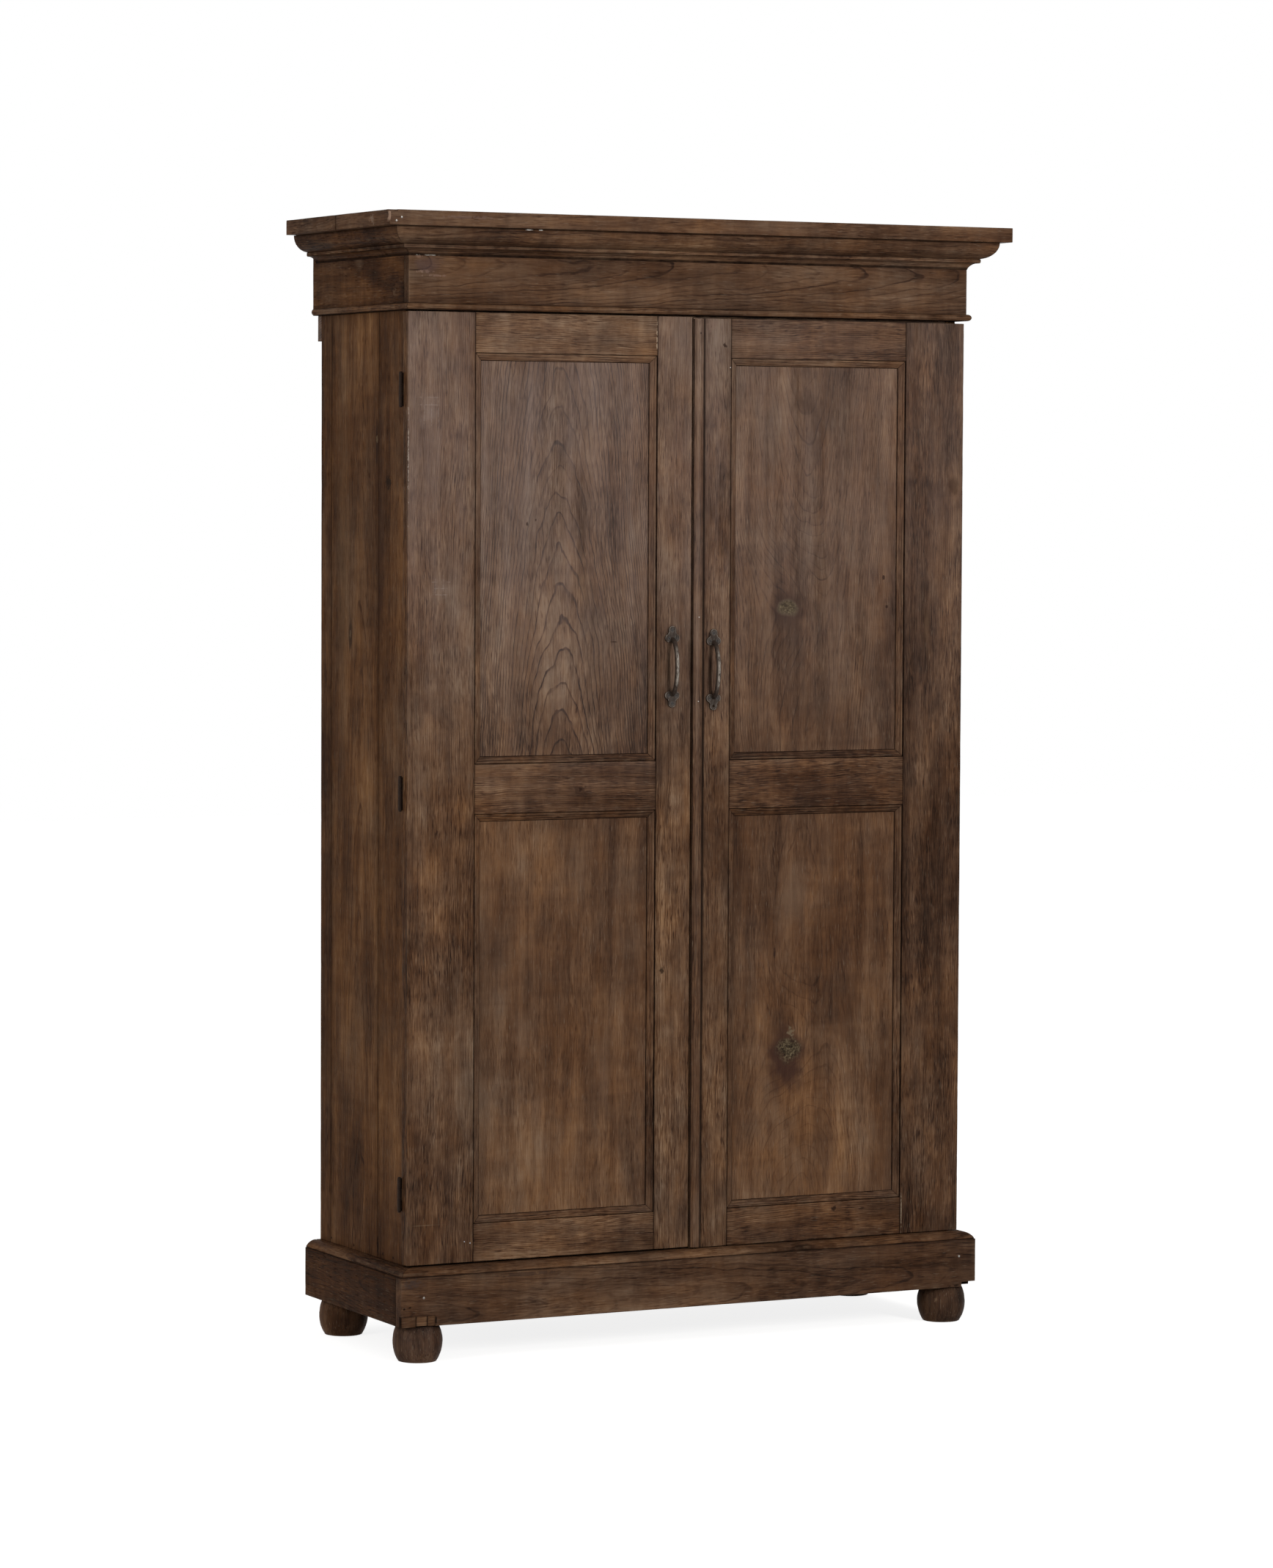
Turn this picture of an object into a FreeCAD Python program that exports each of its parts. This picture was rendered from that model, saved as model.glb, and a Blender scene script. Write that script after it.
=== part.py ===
import FreeCAD, Part

import math
import os
import re

import Sketcher

# A tall two-door teak cabinet on bun feet: a case of edge-joined boards on a moulded plinth, a crown with
# a frieze, bead and cornice, two framed and panelled doors on butt hinges, and three shelves inside.
# Millimetres, +Z up, the front faces -Y. The origin is on the floor, under the middle of the whole.

os.makedirs("parts", exist_ok=True)
doc = FreeCAD.newDocument("cabinet")
Vector = FreeCAD.Vector

# Driving sizes, one a row: alias, value, meaning
SIZES = [
    ("door_pair_width", 1110, "both doors and the gap between them, edge to edge"),
    ("door_height", 1661, "height of each door"),
    ("door_thick", 22, "thickness of the door frames"),
    ("door_bottom_gap", 3.5, "left door above the plinth moulding"),
    ("door_top_gap", 2.5, "left door below the crown"),
    ("right_door_drop", 2, "how much lower the right door hangs"),
    ("meeting_gap", 2.5, "between the two doors"),
    ("hinge_gap", 2, "between the doors' backs and the case"),
    ("left_outer_stile", 128, "width of the left door's hinge stile"),
    ("left_inner_stile", 69, "width of the left door's meeting stile"),
    ("right_outer_stile", 121, "width of the right door's hinge stile"),
    ("right_inner_stile", 76, "width of the right door's meeting stile"),
    ("top_rail_height", 69.5, "height of the doors' top rails"),
    ("middle_rail_height", 86.5, "height of the doors' middle rails"),
    ("bottom_rail_height", 66.5, "height of the doors' bottom rails"),
    ("lower_opening_height", 720.5, "height of the lower panels' openings"),
    ("panel_thick", 8, "thickness of the door panels"),
    ("panel_recess", 8, "panel face behind the frame's face"),
    ("panel_groove", 9, "depth of the grooves that hold the panels"),
    ("panel_play", 1, "room for a panel to swell in its groove"),
    ("tenon_length", 40, "stub tenons of the door rails"),
    ("tenon_shoulder", 11, "rail left above and below a tenon"),
    ("strip_width", 13, "panel moulding, across its face"),
    ("strip_top", 7, "panel moulding, height against the frame"),
    ("strip_step_in", 6.2, "panel moulding, its quirk from the frame"),
    ("strip_step_high", 5, "panel moulding, height above its quirk"),
    ("strip_step_low", 4, "panel moulding, height below its quirk"),
    ("strip_lip", 1.6, "panel moulding, height at its inner edge"),
    ("meeting_bead_width", 19.5, "half-round strip on the right door"),
    ("meeting_bead_rise", 8, "how far the strip stands out"),
    ("meeting_bead_edge", 3, "flat height of the strip's two edges"),
    ("meeting_bead_inset", 1.5, "strip short of the door's top and bottom"),
    ("side_setback", 5, "case sides inside the doors' outer edges"),
    ("case_depth", 365.5, "depth of the case sides"),
    ("side_thick", 20, "thickness of the case sides"),
    ("side_front_board", 112, "width of the front board of each side"),
    ("side_rear_board", 47, "width of the rear board of each side"),
    ("rebate_width", 10, "rebate in the sides for the back boards"),
    ("back_thick", 10, "thickness of the back boards"),
    ("back_board_count", 6, "number of back boards"),
    ("back_joint", 1, "gap between two back boards"),
    ("floor_thick", 20, "thickness of the floor board"),
    ("ceiling_thick", 20, "thickness of the ceiling board"),
    ("shelf_thick", 18, "thickness of the shelves"),
    ("shelf_front_setback", 6, "shelves behind the case's front edge"),
    ("shelf_end_play", 0.5, "each end of a shelf to the case side"),
    ("shelf_cleat_size", 20, "width and height of the shelf cleats"),
    ("cleat_height", 46, "height of the batten across the back"),
    ("cleat_thick", 16.5, "thickness of the batten across the back"),
    ("frieze_height", 142, "height of the frieze boards"),
    ("frieze_thick", 20, "thickness of the frieze boards"),
    ("frieze_side_proud", 2, "frieze beyond the doors' outer edges"),
    ("frieze_front_proud", 5.5, "frieze in front of the doors"),
    ("frieze_back_run", 22.5, "frieze returns behind the case"),
    ("crown_rail_thick", 18, "thickness of the crown's back rail"),
    ("crown_block_size", 30, "width of the crown's corner blocks"),
    ("cornice_height", 49, "height of the cornice moulding"),
    ("cornice_reach", 43.5, "cornice beyond the frieze at its top"),
    ("cornice_step_reach", 18.2, "cornice beyond the frieze at its fillet"),
    ("cornice_cove_height", 12.5, "height of the small hollow"),
    ("cornice_fillet_height", 6.5, "height of the flat fillet"),
    ("cornice_cove_radius", 16, "radius of the small hollow"),
    ("cornice_round_radius", 29, "radius of the large round"),
    ("cornice_back_stop", 14, "cornice returns short of the frieze's"),
    ("bead_height", 12, "height of the bead under the frieze"),
    ("bead_reach", 7, "how far the bead stands out"),
    ("bead_flat", 1.5, "flat at the bead's root"),
    ("bead_back_stop", 9, "bead returns short of the frieze's"),
    ("cap_thick", 26, "thickness of the cap boards"),
    ("cap_side_overhang", 62.4, "cap beyond the frieze at the sides"),
    ("cap_front_overhang", 57.3, "cap beyond the frieze at the front"),
    ("cap_back_stop", 24, "cap short of the frieze returns"),
    ("cap_front_board", 230, "width of the front cap board"),
    ("plinth_height", 87, "height of the plinth boards"),
    ("plinth_thick", 24, "thickness of the plinth boards"),
    ("plinth_side_proud", 23, "plinth beyond the doors' outer edges"),
    ("plinth_front_proud", 29, "plinth in front of the doors"),
    ("plinth_back_run", 4.5, "plinth behind the case"),
    ("plinth_chip_width", 29, "broken corner, width"),
    ("plinth_chip_height", 9, "broken corner, height"),
    ("patch_first", 28, "outermost let-in repair, width"),
    ("patch_second", 21, "second let-in repair, width"),
    ("patch_third", 15, "third let-in repair, width"),
    ("patch_joint", 0.4, "between two let-in repairs"),
    ("patch_height", 19, "let-in repairs, height"),
    ("patch_depth", 9, "let-in repairs, depth"),
    ("moulding_height", 13, "height of the plinth moulding"),
    ("moulding_setback", 2, "plinth moulding behind the plinth's face"),
    ("moulding_nose", 2, "upright below the moulding's round"),
    ("moulding_round", 19, "width of the moulding's round"),
    ("moulding_seat", 22, "moulding under the case's edge"),
    ("foot_height", 65, "from the floor to the plinth"),
    ("foot_width", 89, "widest diameter of a foot"),
    ("foot_base_width", 68, "diameter of a foot's base"),
    ("foot_neck_width", 74, "diameter of a foot at the plinth"),
    ("foot_side_inset", 49, "foot centre from the plinth's side face"),
    ("foot_front_inset", 40, "foot centre from the plinth's front face"),
    ("left_foot_back_inset", 61, "back left foot's centre from the plinth's back face"),
    ("right_foot_back_inset", 41, "back right foot's centre from the plinth's back face"),
    ("dowel_width", 20, "diameter of the feet's dowels"),
    ("dowel_length", 40, "length of the feet's dowels"),
    ("foot_block_size", 60, "width of the blocks that take the dowels"),
    ("hinge_height", 58, "height of the butt hinges"),
    ("hinge_top_down", 135, "door top to the middle of the top hinge"),
    ("hinge_bottom_up", 123, "door bottom to the middle of the bottom hinge"),
    ("knuckle_width", 7, "diameter of the hinge knuckles"),
    ("knuckle_proud", 3.9, "hinge axis outside the door's edge"),
    ("knuckle_play", 0.3, "gap between two knuckle rings"),
    ("leaf_thick", 1.6, "thickness of the hinge leaves"),
    ("leaf_reach", 27, "hinge axis to a leaf's far edge"),
    ("pin_width", 3.4, "diameter of the hinge pins"),
    ("pin_play", 0.05, "radial play of the pins"),
    ("pin_head_width", 5.4, "diameter of the pins' heads"),
    ("pin_head_height", 2, "height of the pins' heads"),
    ("leaf_screw_pitch", 19, "between two screws of a leaf"),
    ("leaf_screw_head", 6, "diameter of the leaf screws' heads"),
    ("leaf_screw_shank", 3, "diameter of the leaf screws' shanks"),
    ("leaf_screw_length", 15, "length of the leaf screws"),
    ("left_handle_up", 167, "left door's middle rail to its handle's middle"),
    ("left_handle_in", 38, "left door's meeting edge to its handle's middle"),
    ("right_handle_up", 163, "right door's middle rail to its handle's middle"),
    ("right_handle_in", 42.5, "right door's meeting edge to its handle's middle"),
    ("handle_lobe_width", 14.6, "diameter of the handle plates' lobes"),
    ("handle_lobe_tip", 65.2, "handle's middle to the end lobes"),
    ("handle_lobe_pair", 51, "handle's middle to the paired lobes"),
    ("handle_lobe_side", 7.1, "paired lobes off the middle line"),
    ("handle_heart_width", 17, "diameter of the plates' middle"),
    ("handle_heart_up", 57, "handle's middle to the plates' middle"),
    ("handle_plate_thick", 3, "thickness of the handle plates"),
    ("grip_width", 8, "diameter of the handle's grip"),
    ("grip_reach", 22, "door face to the middle of the grip"),
    ("grip_root", 49, "handle's middle to the grip's roots"),
    ("grip_bend", 14, "bend radius at the grip's roots"),
    ("handle_screw_head", 6.4, "diameter of the handle screws' heads"),
    ("handle_screw_shank", 3.2, "diameter of the handle screws' shanks"),
    ("handle_screw_length", 16, "length of the handle screws"),
    ("catch_width", 46, "width of the door catches"),
    ("catch_height", 14, "height of the door catches"),
    ("catch_depth", 16, "depth of the door catches"),
    ("catch_in", 60, "middle of the case to a catch's middle"),
    ("catch_plate_thick", 1.2, "thickness of the catch plates"),
    ("catch_plate_margin", 3, "catch beyond its plate all round"),
    ("catch_air", 0.4, "catch to its plate with the door shut"),
    ("nail_head_width", 4.4, "diameter of the bright nail heads"),
    ("nail_head_thick", 0.8, "thickness of the nail heads"),
    ("nail_proud", 0.3, "nail heads above the wood"),
    ("nail_shank_width", 2.2, "diameter of the nails' shanks"),
    ("nail_length", 32, "length of the nails"),
    ("cap_nail_in", 13, "first cap nail from the cap's left end"),
    ("cap_nail_step", 10, "second cap nail further in"),
    ("cap_nail_down", 19, "first cap nail below the cap's top"),
    ("cap_nail_rise", 6, "second cap nail higher"),
    ("left_nail_in", 43, "left plinth nail from the plinth's end"),
    ("left_nail_up", 50.5, "left plinth nail above the plinth's foot"),
    ("right_nail_in", 34.5, "right plinth nail from the plinth's end"),
    ("right_nail_up", 56.5, "right plinth nail above the plinth's foot"),
    ("slot_width", 0.9, "width of the screws' slots"),
    ("slot_depth", 0.8, "depth of the screws' slots"),
    ("overrun", 5, "how far a cut runs past its piece"),
]

# Sizes worked out from the driving ones: alias, formula
PLACES = [
    ("half_pair", "door_pair_width / 2"),
    ("case_half", "half_pair - side_setback"),
    ("case_inner", "case_half - side_thick"),
    ("whole_depth", "frieze_front_proud + cap_front_overhang + door_thick + hinge_gap + case_depth"
                    " + frieze_back_run"),
    ("door_face", "frieze_front_proud + cap_front_overhang - whole_depth / 2"),
    ("door_back", "door_face + door_thick"),
    ("case_front", "door_back + hinge_gap"),
    ("case_back", "case_front + case_depth"),
    ("back_face", "case_back - back_thick"),
    ("plinth_top", "foot_height + plinth_height"),
    ("base_top", "plinth_top + moulding_height"),
    ("left_bottom", "base_top + door_bottom_gap"),
    ("crown_bottom", "left_bottom + door_height + door_top_gap"),
    ("cap_bottom", "crown_bottom + frieze_height"),
    ("floor_top", "base_top + floor_thick"),
    ("ceiling_bottom", "crown_bottom - ceiling_thick"),
    ("frieze_half", "half_pair + frieze_side_proud"),
    ("frieze_front_y", "door_face - frieze_front_proud"),
    ("frieze_back_y", "case_back + frieze_back_run"),
    ("frieze_run", "frieze_back_y - frieze_front_y"),
    ("plinth_half", "half_pair + plinth_side_proud"),
    ("plinth_front_y", "door_face - plinth_front_proud"),
    ("plinth_back_y", "case_back + plinth_back_run"),
    ("plinth_run", "plinth_back_y - plinth_front_y"),
    ("moulding_half", "plinth_half - moulding_setback"),
    ("moulding_front_y", "plinth_front_y + moulding_setback"),
    ("moulding_width", "case_front + moulding_seat - moulding_front_y"),
    ("moulding_rise", "moulding_height - moulding_nose"),
    ("moulding_radius", "(moulding_round ^ 2 + moulding_rise ^ 2) / (2 * moulding_rise)"),
    ("moulding_inner_half", "moulding_half - moulding_width"),
    ("moulding_inner_y", "moulding_front_y + moulding_width"),
    ("bead_sag", "bead_reach - bead_flat"),
    ("bead_radius", "((bead_height / 2) ^ 2 + bead_sag ^ 2) / (2 * bead_sag)"),
    ("meeting_bead_sag", "meeting_bead_rise - meeting_bead_edge"),
    ("meeting_bead_radius", "((meeting_bead_width / 2) ^ 2 + meeting_bead_sag ^ 2)"
                            " / (2 * meeting_bead_sag)"),
    ("foot_swell", "foot_width / 2 - (foot_base_width + foot_neck_width) / 4"),
    ("foot_radius", "((foot_height / 2) ^ 2 + foot_swell ^ 2) / (2 * foot_swell)"),
    ("hinge_axis_x", "half_pair + knuckle_proud"),
    ("hinge_axis_y", "door_back + hinge_gap / 2"),
    ("top_hinge_z", "left_bottom + door_height - hinge_top_down"),
    ("bottom_hinge_z", "left_bottom + hinge_bottom_up"),
    ("middle_hinge_z", "(top_hinge_z + bottom_hinge_z) / 2"),
    ("knuckle_third", "hinge_height / 3"),
    ("leaf_screw_in", "(leaf_reach + hinge_axis_x - case_half) / 2"),
    ("upper_opening_height", "door_height - top_rail_height - middle_rail_height - bottom_rail_height"
                             " - lower_opening_height"),
    ("panel_face", "door_face + panel_recess"),
    ("middle_rail_up", "bottom_rail_height + lower_opening_height"),
    ("handles_up", "middle_rail_up + middle_rail_height"),
    ("shelf_depth", "back_face - case_front - shelf_front_setback"),
    ("middle_shelf_z", "left_bottom + middle_rail_up + (middle_rail_height - shelf_thick) / 2"),
    ("lower_shelf_z", "(floor_top + middle_shelf_z) / 2"),
    ("upper_shelf_z", "(middle_shelf_z + ceiling_bottom) / 2"),
    ("grip_bow", "((grip_root - grip_bend) ^ 2 + grip_reach ^ 2 - grip_bend ^ 2)"
                 " / (2 * (grip_reach - grip_bend))"),
    ("grip_turn_out", "grip_bend * (grip_bow - grip_reach) / (grip_bow - grip_bend)"),
    ("grip_turn_up", "(grip_root - grip_bend) * (1 + grip_bend / (grip_bow - grip_bend))"),
]

SHEET_OF = {alias: "Sizes." for alias, value, note in SIZES}
SHEET_OF.update({alias: "Places." for alias, formula in PLACES})


def bound(formula):
    """Write a formula of size names the way an expression of the document names them."""
    return re.sub(r"[a-z][a-z_]*", lambda word: SHEET_OF.get(word.group(), "") + word.group(), formula)


sizes = doc.addObject("Spreadsheet::Sheet", "Sizes")
for row, (alias, value, note) in enumerate(SIZES, start=1):
    sizes.set(f"A{row}", alias)
    sizes.set(f"B{row}", str(value))
    sizes.setAlias(f"B{row}", alias)
    sizes.set(f"C{row}", note)
places = doc.addObject("Spreadsheet::Sheet", "Places")
for row, (alias, formula) in enumerate(PLACES, start=1):
    places.set(f"A{row}", alias)
    places.set(f"B{row}", "=" + bound(formula))
    places.setAlias(f"B{row}", alias)
doc.recompute()


def number(formula):
    """The present value of a formula of size names."""
    return float(sizes.evalExpression(bound(formula)))


# Helpers: each binds what it makes to the sheets, so that a changed cell changes the piece

SUB_PARTS = []
TURN_FRONT = FreeCAD.Rotation(Vector(0, 0, 1), 180)
TURN_LEFT = FreeCAD.Rotation(Vector(0, 0, 1), 90)
TURN_RIGHT = FreeCAD.Rotation(Vector(0, 0, 1), -90)
NO_TURN = FreeCAD.Rotation()


def sub_part(piece):
    """Count a piece among those that are written out."""
    SUB_PARTS.append(piece)
    return piece


def place(piece, x="0", y="0", z="0", turn=NO_TURN):
    """Turn a piece and bind its place to three formulas."""
    piece.Placement = FreeCAD.Placement(Vector(0, 0, 0), turn)
    for axis, formula in (("x", x), ("y", y), ("z", z)):
        piece.setExpression(f".Placement.Base.{axis}", bound(formula))
    return piece


def board(label, x, y, z, length, width, height):
    """A square-edged board from its lowest corner, with its extents along X, Y and Z."""
    piece = doc.addObject("Part::Box", label)
    piece.Label = label
    for name, formula in (("Length", length), ("Width", width), ("Height", height)):
        piece.setExpression(name, bound(formula))
    return place(piece, x, y, z)


def group(label, pieces):
    """Several solids that share one node."""
    piece = doc.addObject("Part::Compound", label)
    piece.Label = label
    piece.Links = pieces
    return piece


def cut(label, base, *tools):
    """A piece less its tools."""
    piece = doc.addObject("Part::Cut", label)
    piece.Label = label
    piece.Base = base
    piece.Tool = tools[0] if len(tools) == 1 else group(label + "_tools", list(tools))
    return piece


def fuse(label, *pieces):
    """Pieces worked from one blank."""
    piece = doc.addObject("Part::MultiFuse", label)
    piece.Label = label
    piece.Shapes = list(pieces)
    return piece


def copy_at(source, label, x="0", y="0", z="0", turn=NO_TURN):
    """One more of a piece, at a place of its own."""
    link = doc.addObject("App::Link", label)
    link.Label = label
    link.LinkedObject = source
    link.LinkTransform = False
    return place(link, x, y, z, turn)


def new_body(label):
    body = doc.addObject("PartDesign::Body", label)
    body.Label = label
    return body


def new_sketch(body, name, plane):
    sketch = body.newObject("Sketcher::SketchObject", name)
    home = [face for face in body.Origin.OriginFeatures if face.Role == plane][0]
    sketch.AttachmentSupport = [(home, "")]
    sketch.MapMode = "FlatFace"
    return sketch


def pin_down(sketch, kind, line, end, formula):
    """Hold one end of a line at a bound distance from the sketch's origin."""
    rule = sketch.addConstraint(Sketcher.Constraint(kind, -1, 1, line, end, number(formula)))
    sketch.setExpression(f"Constraints[{rule}]", bound(formula))


def draw(sketch, corners, closed=True):
    """Draw lines through corners (across, up), every coordinate bound. A third formula in a corner makes the
    line that leaves it an arc of that radius. It bulges to the right of its way, or left if negative."""
    spots = [Vector(number(corner[0]), number(corner[1]), 0) for corner in corners]
    lines = []
    for place_in, corner in enumerate(corners if closed else corners[:-1]):
        start = spots[place_in]
        end = spots[(place_in + 1) % len(spots)]
        if len(corner) < 3:
            line = sketch.addGeometry(Part.LineSegment(start, end), False)
            lines.append((line, 1, 2))
            continue
        radius = number(corner[2])
        along = end - start
        right = Vector(along.y, -along.x, 0).normalize() * math.copysign(1, radius)
        middle = (start + end) * 0.5
        centre = middle - right * math.sqrt(max(radius ** 2 - (along.Length / 2) ** 2, 0))
        line = sketch.addGeometry(Part.Arc(start, centre + right * abs(radius), end), False)
        first_gap = (sketch.getPoint(line, 1) - start).Length
        last_gap = (sketch.getPoint(line, 2) - start).Length
        lines.append((line, 1, 2) if first_gap < last_gap else (line, 2, 1))
        rule = sketch.addConstraint(Sketcher.Constraint("Radius", line, abs(radius)))
        sketch.setExpression(f"Constraints[{rule}]", "abs(" + bound(corner[2]) + ")")
    for before, after in zip(lines, lines[1:] + lines[:1] if closed else lines[1:]):
        sketch.addConstraint(Sketcher.Constraint("Coincident", before[0], before[2], after[0], after[1]))
    for (line, first, last), corner in zip(lines, corners):
        pin_down(sketch, "DistanceX", line, first, corner[0])
        pin_down(sketch, "DistanceY", line, first, corner[1])
    if not closed:
        pin_down(sketch, "DistanceX", lines[-1][0], lines[-1][2], corners[-1][0])
        pin_down(sketch, "DistanceY", lines[-1][0], lines[-1][2], corners[-1][1])
    return sketch


def draw_circle(sketch, across, up, diameter):
    circle = Part.Circle(Vector(number(across), number(up), 0), Vector(0, 0, 1), number(diameter) / 2)
    line = sketch.addGeometry(circle, False)
    pin_down(sketch, "DistanceX", line, 3, across)
    pin_down(sketch, "DistanceY", line, 3, up)
    rule = sketch.addConstraint(Sketcher.Constraint("Diameter", line, number(diameter)))
    sketch.setExpression(f"Constraints[{rule}]", bound(diameter))
    return sketch


def pad(body, sketch, length, reverse=False):
    feature = body.newObject("PartDesign::Pad", sketch.Name + "_pad")
    feature.Profile = sketch
    feature.setExpression("Length", bound(length))
    feature.Reversed = reverse
    return feature


def pocket_through(body, sketch):
    """Cut a sketch right through the body, both ways."""
    feature = body.newObject("PartDesign::Pocket", sketch.Name + "_cut")
    feature.Profile = sketch
    feature.Type = "ThroughAll"
    feature.Midplane = True
    return feature


def turned(label, corners):
    """A piece turned round the Z axis: corners are (radius, height)."""
    body = new_body(label)
    sketch = draw(new_sketch(body, label + "_outline", "XZ_Plane"), corners)
    feature = body.newObject("PartDesign::Revolution", label + "_turning")
    feature.Profile = sketch
    feature.ReferenceAxis = (sketch, ["V_Axis"])
    feature.Angle = 360
    return body


def moulded_strip(label, corners, length, reach, start="square", finish="square"):
    """A strip along X whose section (out, up) is the corners. An end is square, or mitred so that the strip
    grows longer ("out") or shorter ("in") over its reach."""
    body = new_body(label)
    section = draw(new_sketch(body, label + "_section", "YZ_Plane"), corners)
    begin = "-(" + reach + ")" if start == "out" else "0"
    end = f"({length}) + ({reach})" if finish == "out" else length
    pad(body, section, f"({end}) - ({begin})")
    section.setExpression(".AttachmentOffset.Base.z", bound(begin))
    far = f"(({reach}) + overrun)"
    if start != "square":
        slope = "-" if start == "out" else ""
        outside = f"({begin}) - overrun"
        mitre = new_sketch(body, label + "_start_mitre", "XY_Plane")
        draw(mitre, [(f"{slope}(-overrun)", "-overrun"), (f"{slope}{far}", far),
                     (outside + " - overrun", far), (outside + " - overrun", "-overrun")])
        pocket_through(body, mitre)
    if finish != "square":
        slope = "+" if finish == "out" else "-"
        outside = f"({end}) + 2 * overrun"
        mitre = new_sketch(body, label + "_end_mitre", "XY_Plane")
        draw(mitre, [(f"({length}) {slope} (-overrun)", "-overrun"), (f"({length}) {slope} {far}", far),
                     (outside, far), (outside, "-overrun")])
        pocket_through(body, mitre)
    return body


# Case: two sides, floor, ceiling, back boards and the batten across the back

SIDES = [("left", -1), ("right", 1)]
NAIL_IN = FreeCAD.Rotation(Vector(1, 0, 0), 90)
NAIL_OUT = FreeCAD.Rotation(Vector(1, 0, 0), -90)
OTHER_HAND = FreeCAD.Rotation(Vector(0, 1, 0), 180)


def screw(label, head, shank, length):
    """A slotted countersunk screw that points down from its head, and its blank without the slot."""
    blank = turned(label + "_blank", [("0", f"-{length}"), (f"{shank} / 2", f"-{length} + {shank}"),
                                      (f"{shank} / 2", f"-({head} - {shank}) / 2"), (f"{head} / 2", "0"),
                                      ("0", "0")])
    slot = board(label + "_slot", f"-{head}", "-slot_width / 2", "-slot_depth", f"2 * {head}", "slot_width",
                 "overrun")
    return blank, cut(label, blank, slot)


leaf_blank, leaf_screw = screw("leaf_screw", "leaf_screw_head", "leaf_screw_shank", "leaf_screw_length")


def leaf_screw_row(source, label, x, y, z, turn):
    """The three screws of one hinge leaf, up its middle."""
    return [copy_at(source, f"{label}_{spot + 2}", x, y, f"{z} + ({spot}) * leaf_screw_pitch", turn)
            for spot in (-1, 0, 1)]


def hinge_leaf(label, plate_y, screw_y, turn, ring_height, spaces):
    """One leaf of a butt hinge about its axis: a plate, its knuckle rings, the bore and three screw holes.
    The spaces are the heights where the plate stops short of the other leaf's rings."""
    body = new_body(label + "_plate")
    plate = new_sketch(body, label + "_outline", "XY_Plane")
    draw(plate, [("0", plate_y), ("leaf_reach", plate_y), ("leaf_reach", f"{plate_y} + leaf_thick"),
                 ("0", f"{plate_y} + leaf_thick")])
    pad(body, plate, "hinge_height").Midplane = True
    ring = draw_circle(new_sketch(body, label + "_ring", "XY_Plane"), "0", "0", "knuckle_width")
    pad(body, ring, ring_height).Midplane = True
    space = new_sketch(body, label + "_space", "XZ_Plane")
    for low, high in spaces:
        draw(space, [("-knuckle_width", low), ("knuckle_proud", low), ("knuckle_proud", high),
                     ("-knuckle_width", high)])
    pocket_through(body, space)
    bore = draw_circle(new_sketch(body, label + "_bore", "XY_Plane"), "0", "0", "pin_width + 2 * pin_play")
    pocket_through(body, bore)
    screws = leaf_screw_row(leaf_blank, label + "_screw", "leaf_screw_in", screw_y, "0", turn)
    return cut(label, body, *screws)


case_leaf = hinge_leaf("case_leaf", "hinge_gap / 2", "hinge_gap / 2", NAIL_IN, "hinge_height",
                       [("-(knuckle_third + knuckle_play) / 2", "(knuckle_third + knuckle_play) / 2")])
door_leaf = hinge_leaf("door_leaf", "-hinge_gap / 2 - leaf_thick", "-hinge_gap / 2", NAIL_OUT,
                       "knuckle_third - knuckle_play",
                       [("-hinge_height", "-(knuckle_third - knuckle_play) / 2"),
                        ("(knuckle_third - knuckle_play) / 2", "hinge_height")])
hinge_pin = turned("hinge_pin", [("0", "-hinge_height / 2 - pin_head_height"),
                                 ("pin_head_width / 2", "-hinge_height / 2 - pin_head_height"),
                                 ("pin_head_width / 2", "-hinge_height / 2"),
                                 ("pin_width / 2", "-hinge_height / 2"),
                                 ("pin_width / 2", "hinge_height / 2"),
                                 ("pin_head_width / 2", "hinge_height / 2"),
                                 ("pin_head_width / 2", "hinge_height / 2 + pin_head_height"),
                                 ("0", "hinge_height / 2 + pin_head_height")])

# Hinges: three butt hinges a door, let into the case's front edge and the door's back
HINGE_HEIGHTS = [("top", "top_hinge_z"), ("middle", "middle_hinge_z"), ("bottom", "bottom_hinge_z")]
hinge_sets = {}
for side, hand in SIDES:
    axis_x = f"({hand}) * hinge_axis_x"
    screw_x = f"({hand}) * (hinge_axis_x - leaf_screw_in)"
    turn = NO_TURN if side == "left" else OTHER_HAND
    kit = {name: [] for name in ("case_leaves", "door_leaves", "pins", "case_screws", "case_blanks",
                                 "door_screws", "door_blanks")}
    for name, height in HINGE_HEIGHTS:
        label = f"{side}_{name}_hinge"
        axis = (axis_x, "hinge_axis_y", height)
        kit["case_leaves"].append(copy_at(case_leaf, label + "_case_leaf", *axis, turn))
        kit["door_leaves"].append(copy_at(door_leaf, label + "_door_leaf", *axis, turn))
        kit["pins"].append(copy_at(hinge_pin, label + "_pin", *axis))
        for part, face, way in (("case", "case_front", NAIL_IN), ("door", "door_back", NAIL_OUT)):
            at = (screw_x, face, height, way)
            kit[part + "_screws"] += leaf_screw_row(leaf_screw, f"{label}_{part}_screw", *at)
            kit[part + "_blanks"] += leaf_screw_row(leaf_blank, f"{label}_{part}_blank", *at)
    hinge_sets[side] = kit
both = {name: hinge_sets["left"][name] + hinge_sets["right"][name] for name in hinge_sets["left"]}
sub_part(group("case_hinge_leaves", both["case_leaves"]))
sub_part(group("hinge_pins", both["pins"]))
sub_part(group("case_hinge_screws", both["case_screws"]))
for side, hand in SIDES:
    sub_part(group(f"{side}_door_hinge_leaves", hinge_sets[side]["door_leaves"]))
    sub_part(group(f"{side}_door_hinge_screws", hinge_sets[side]["door_screws"]))

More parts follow.
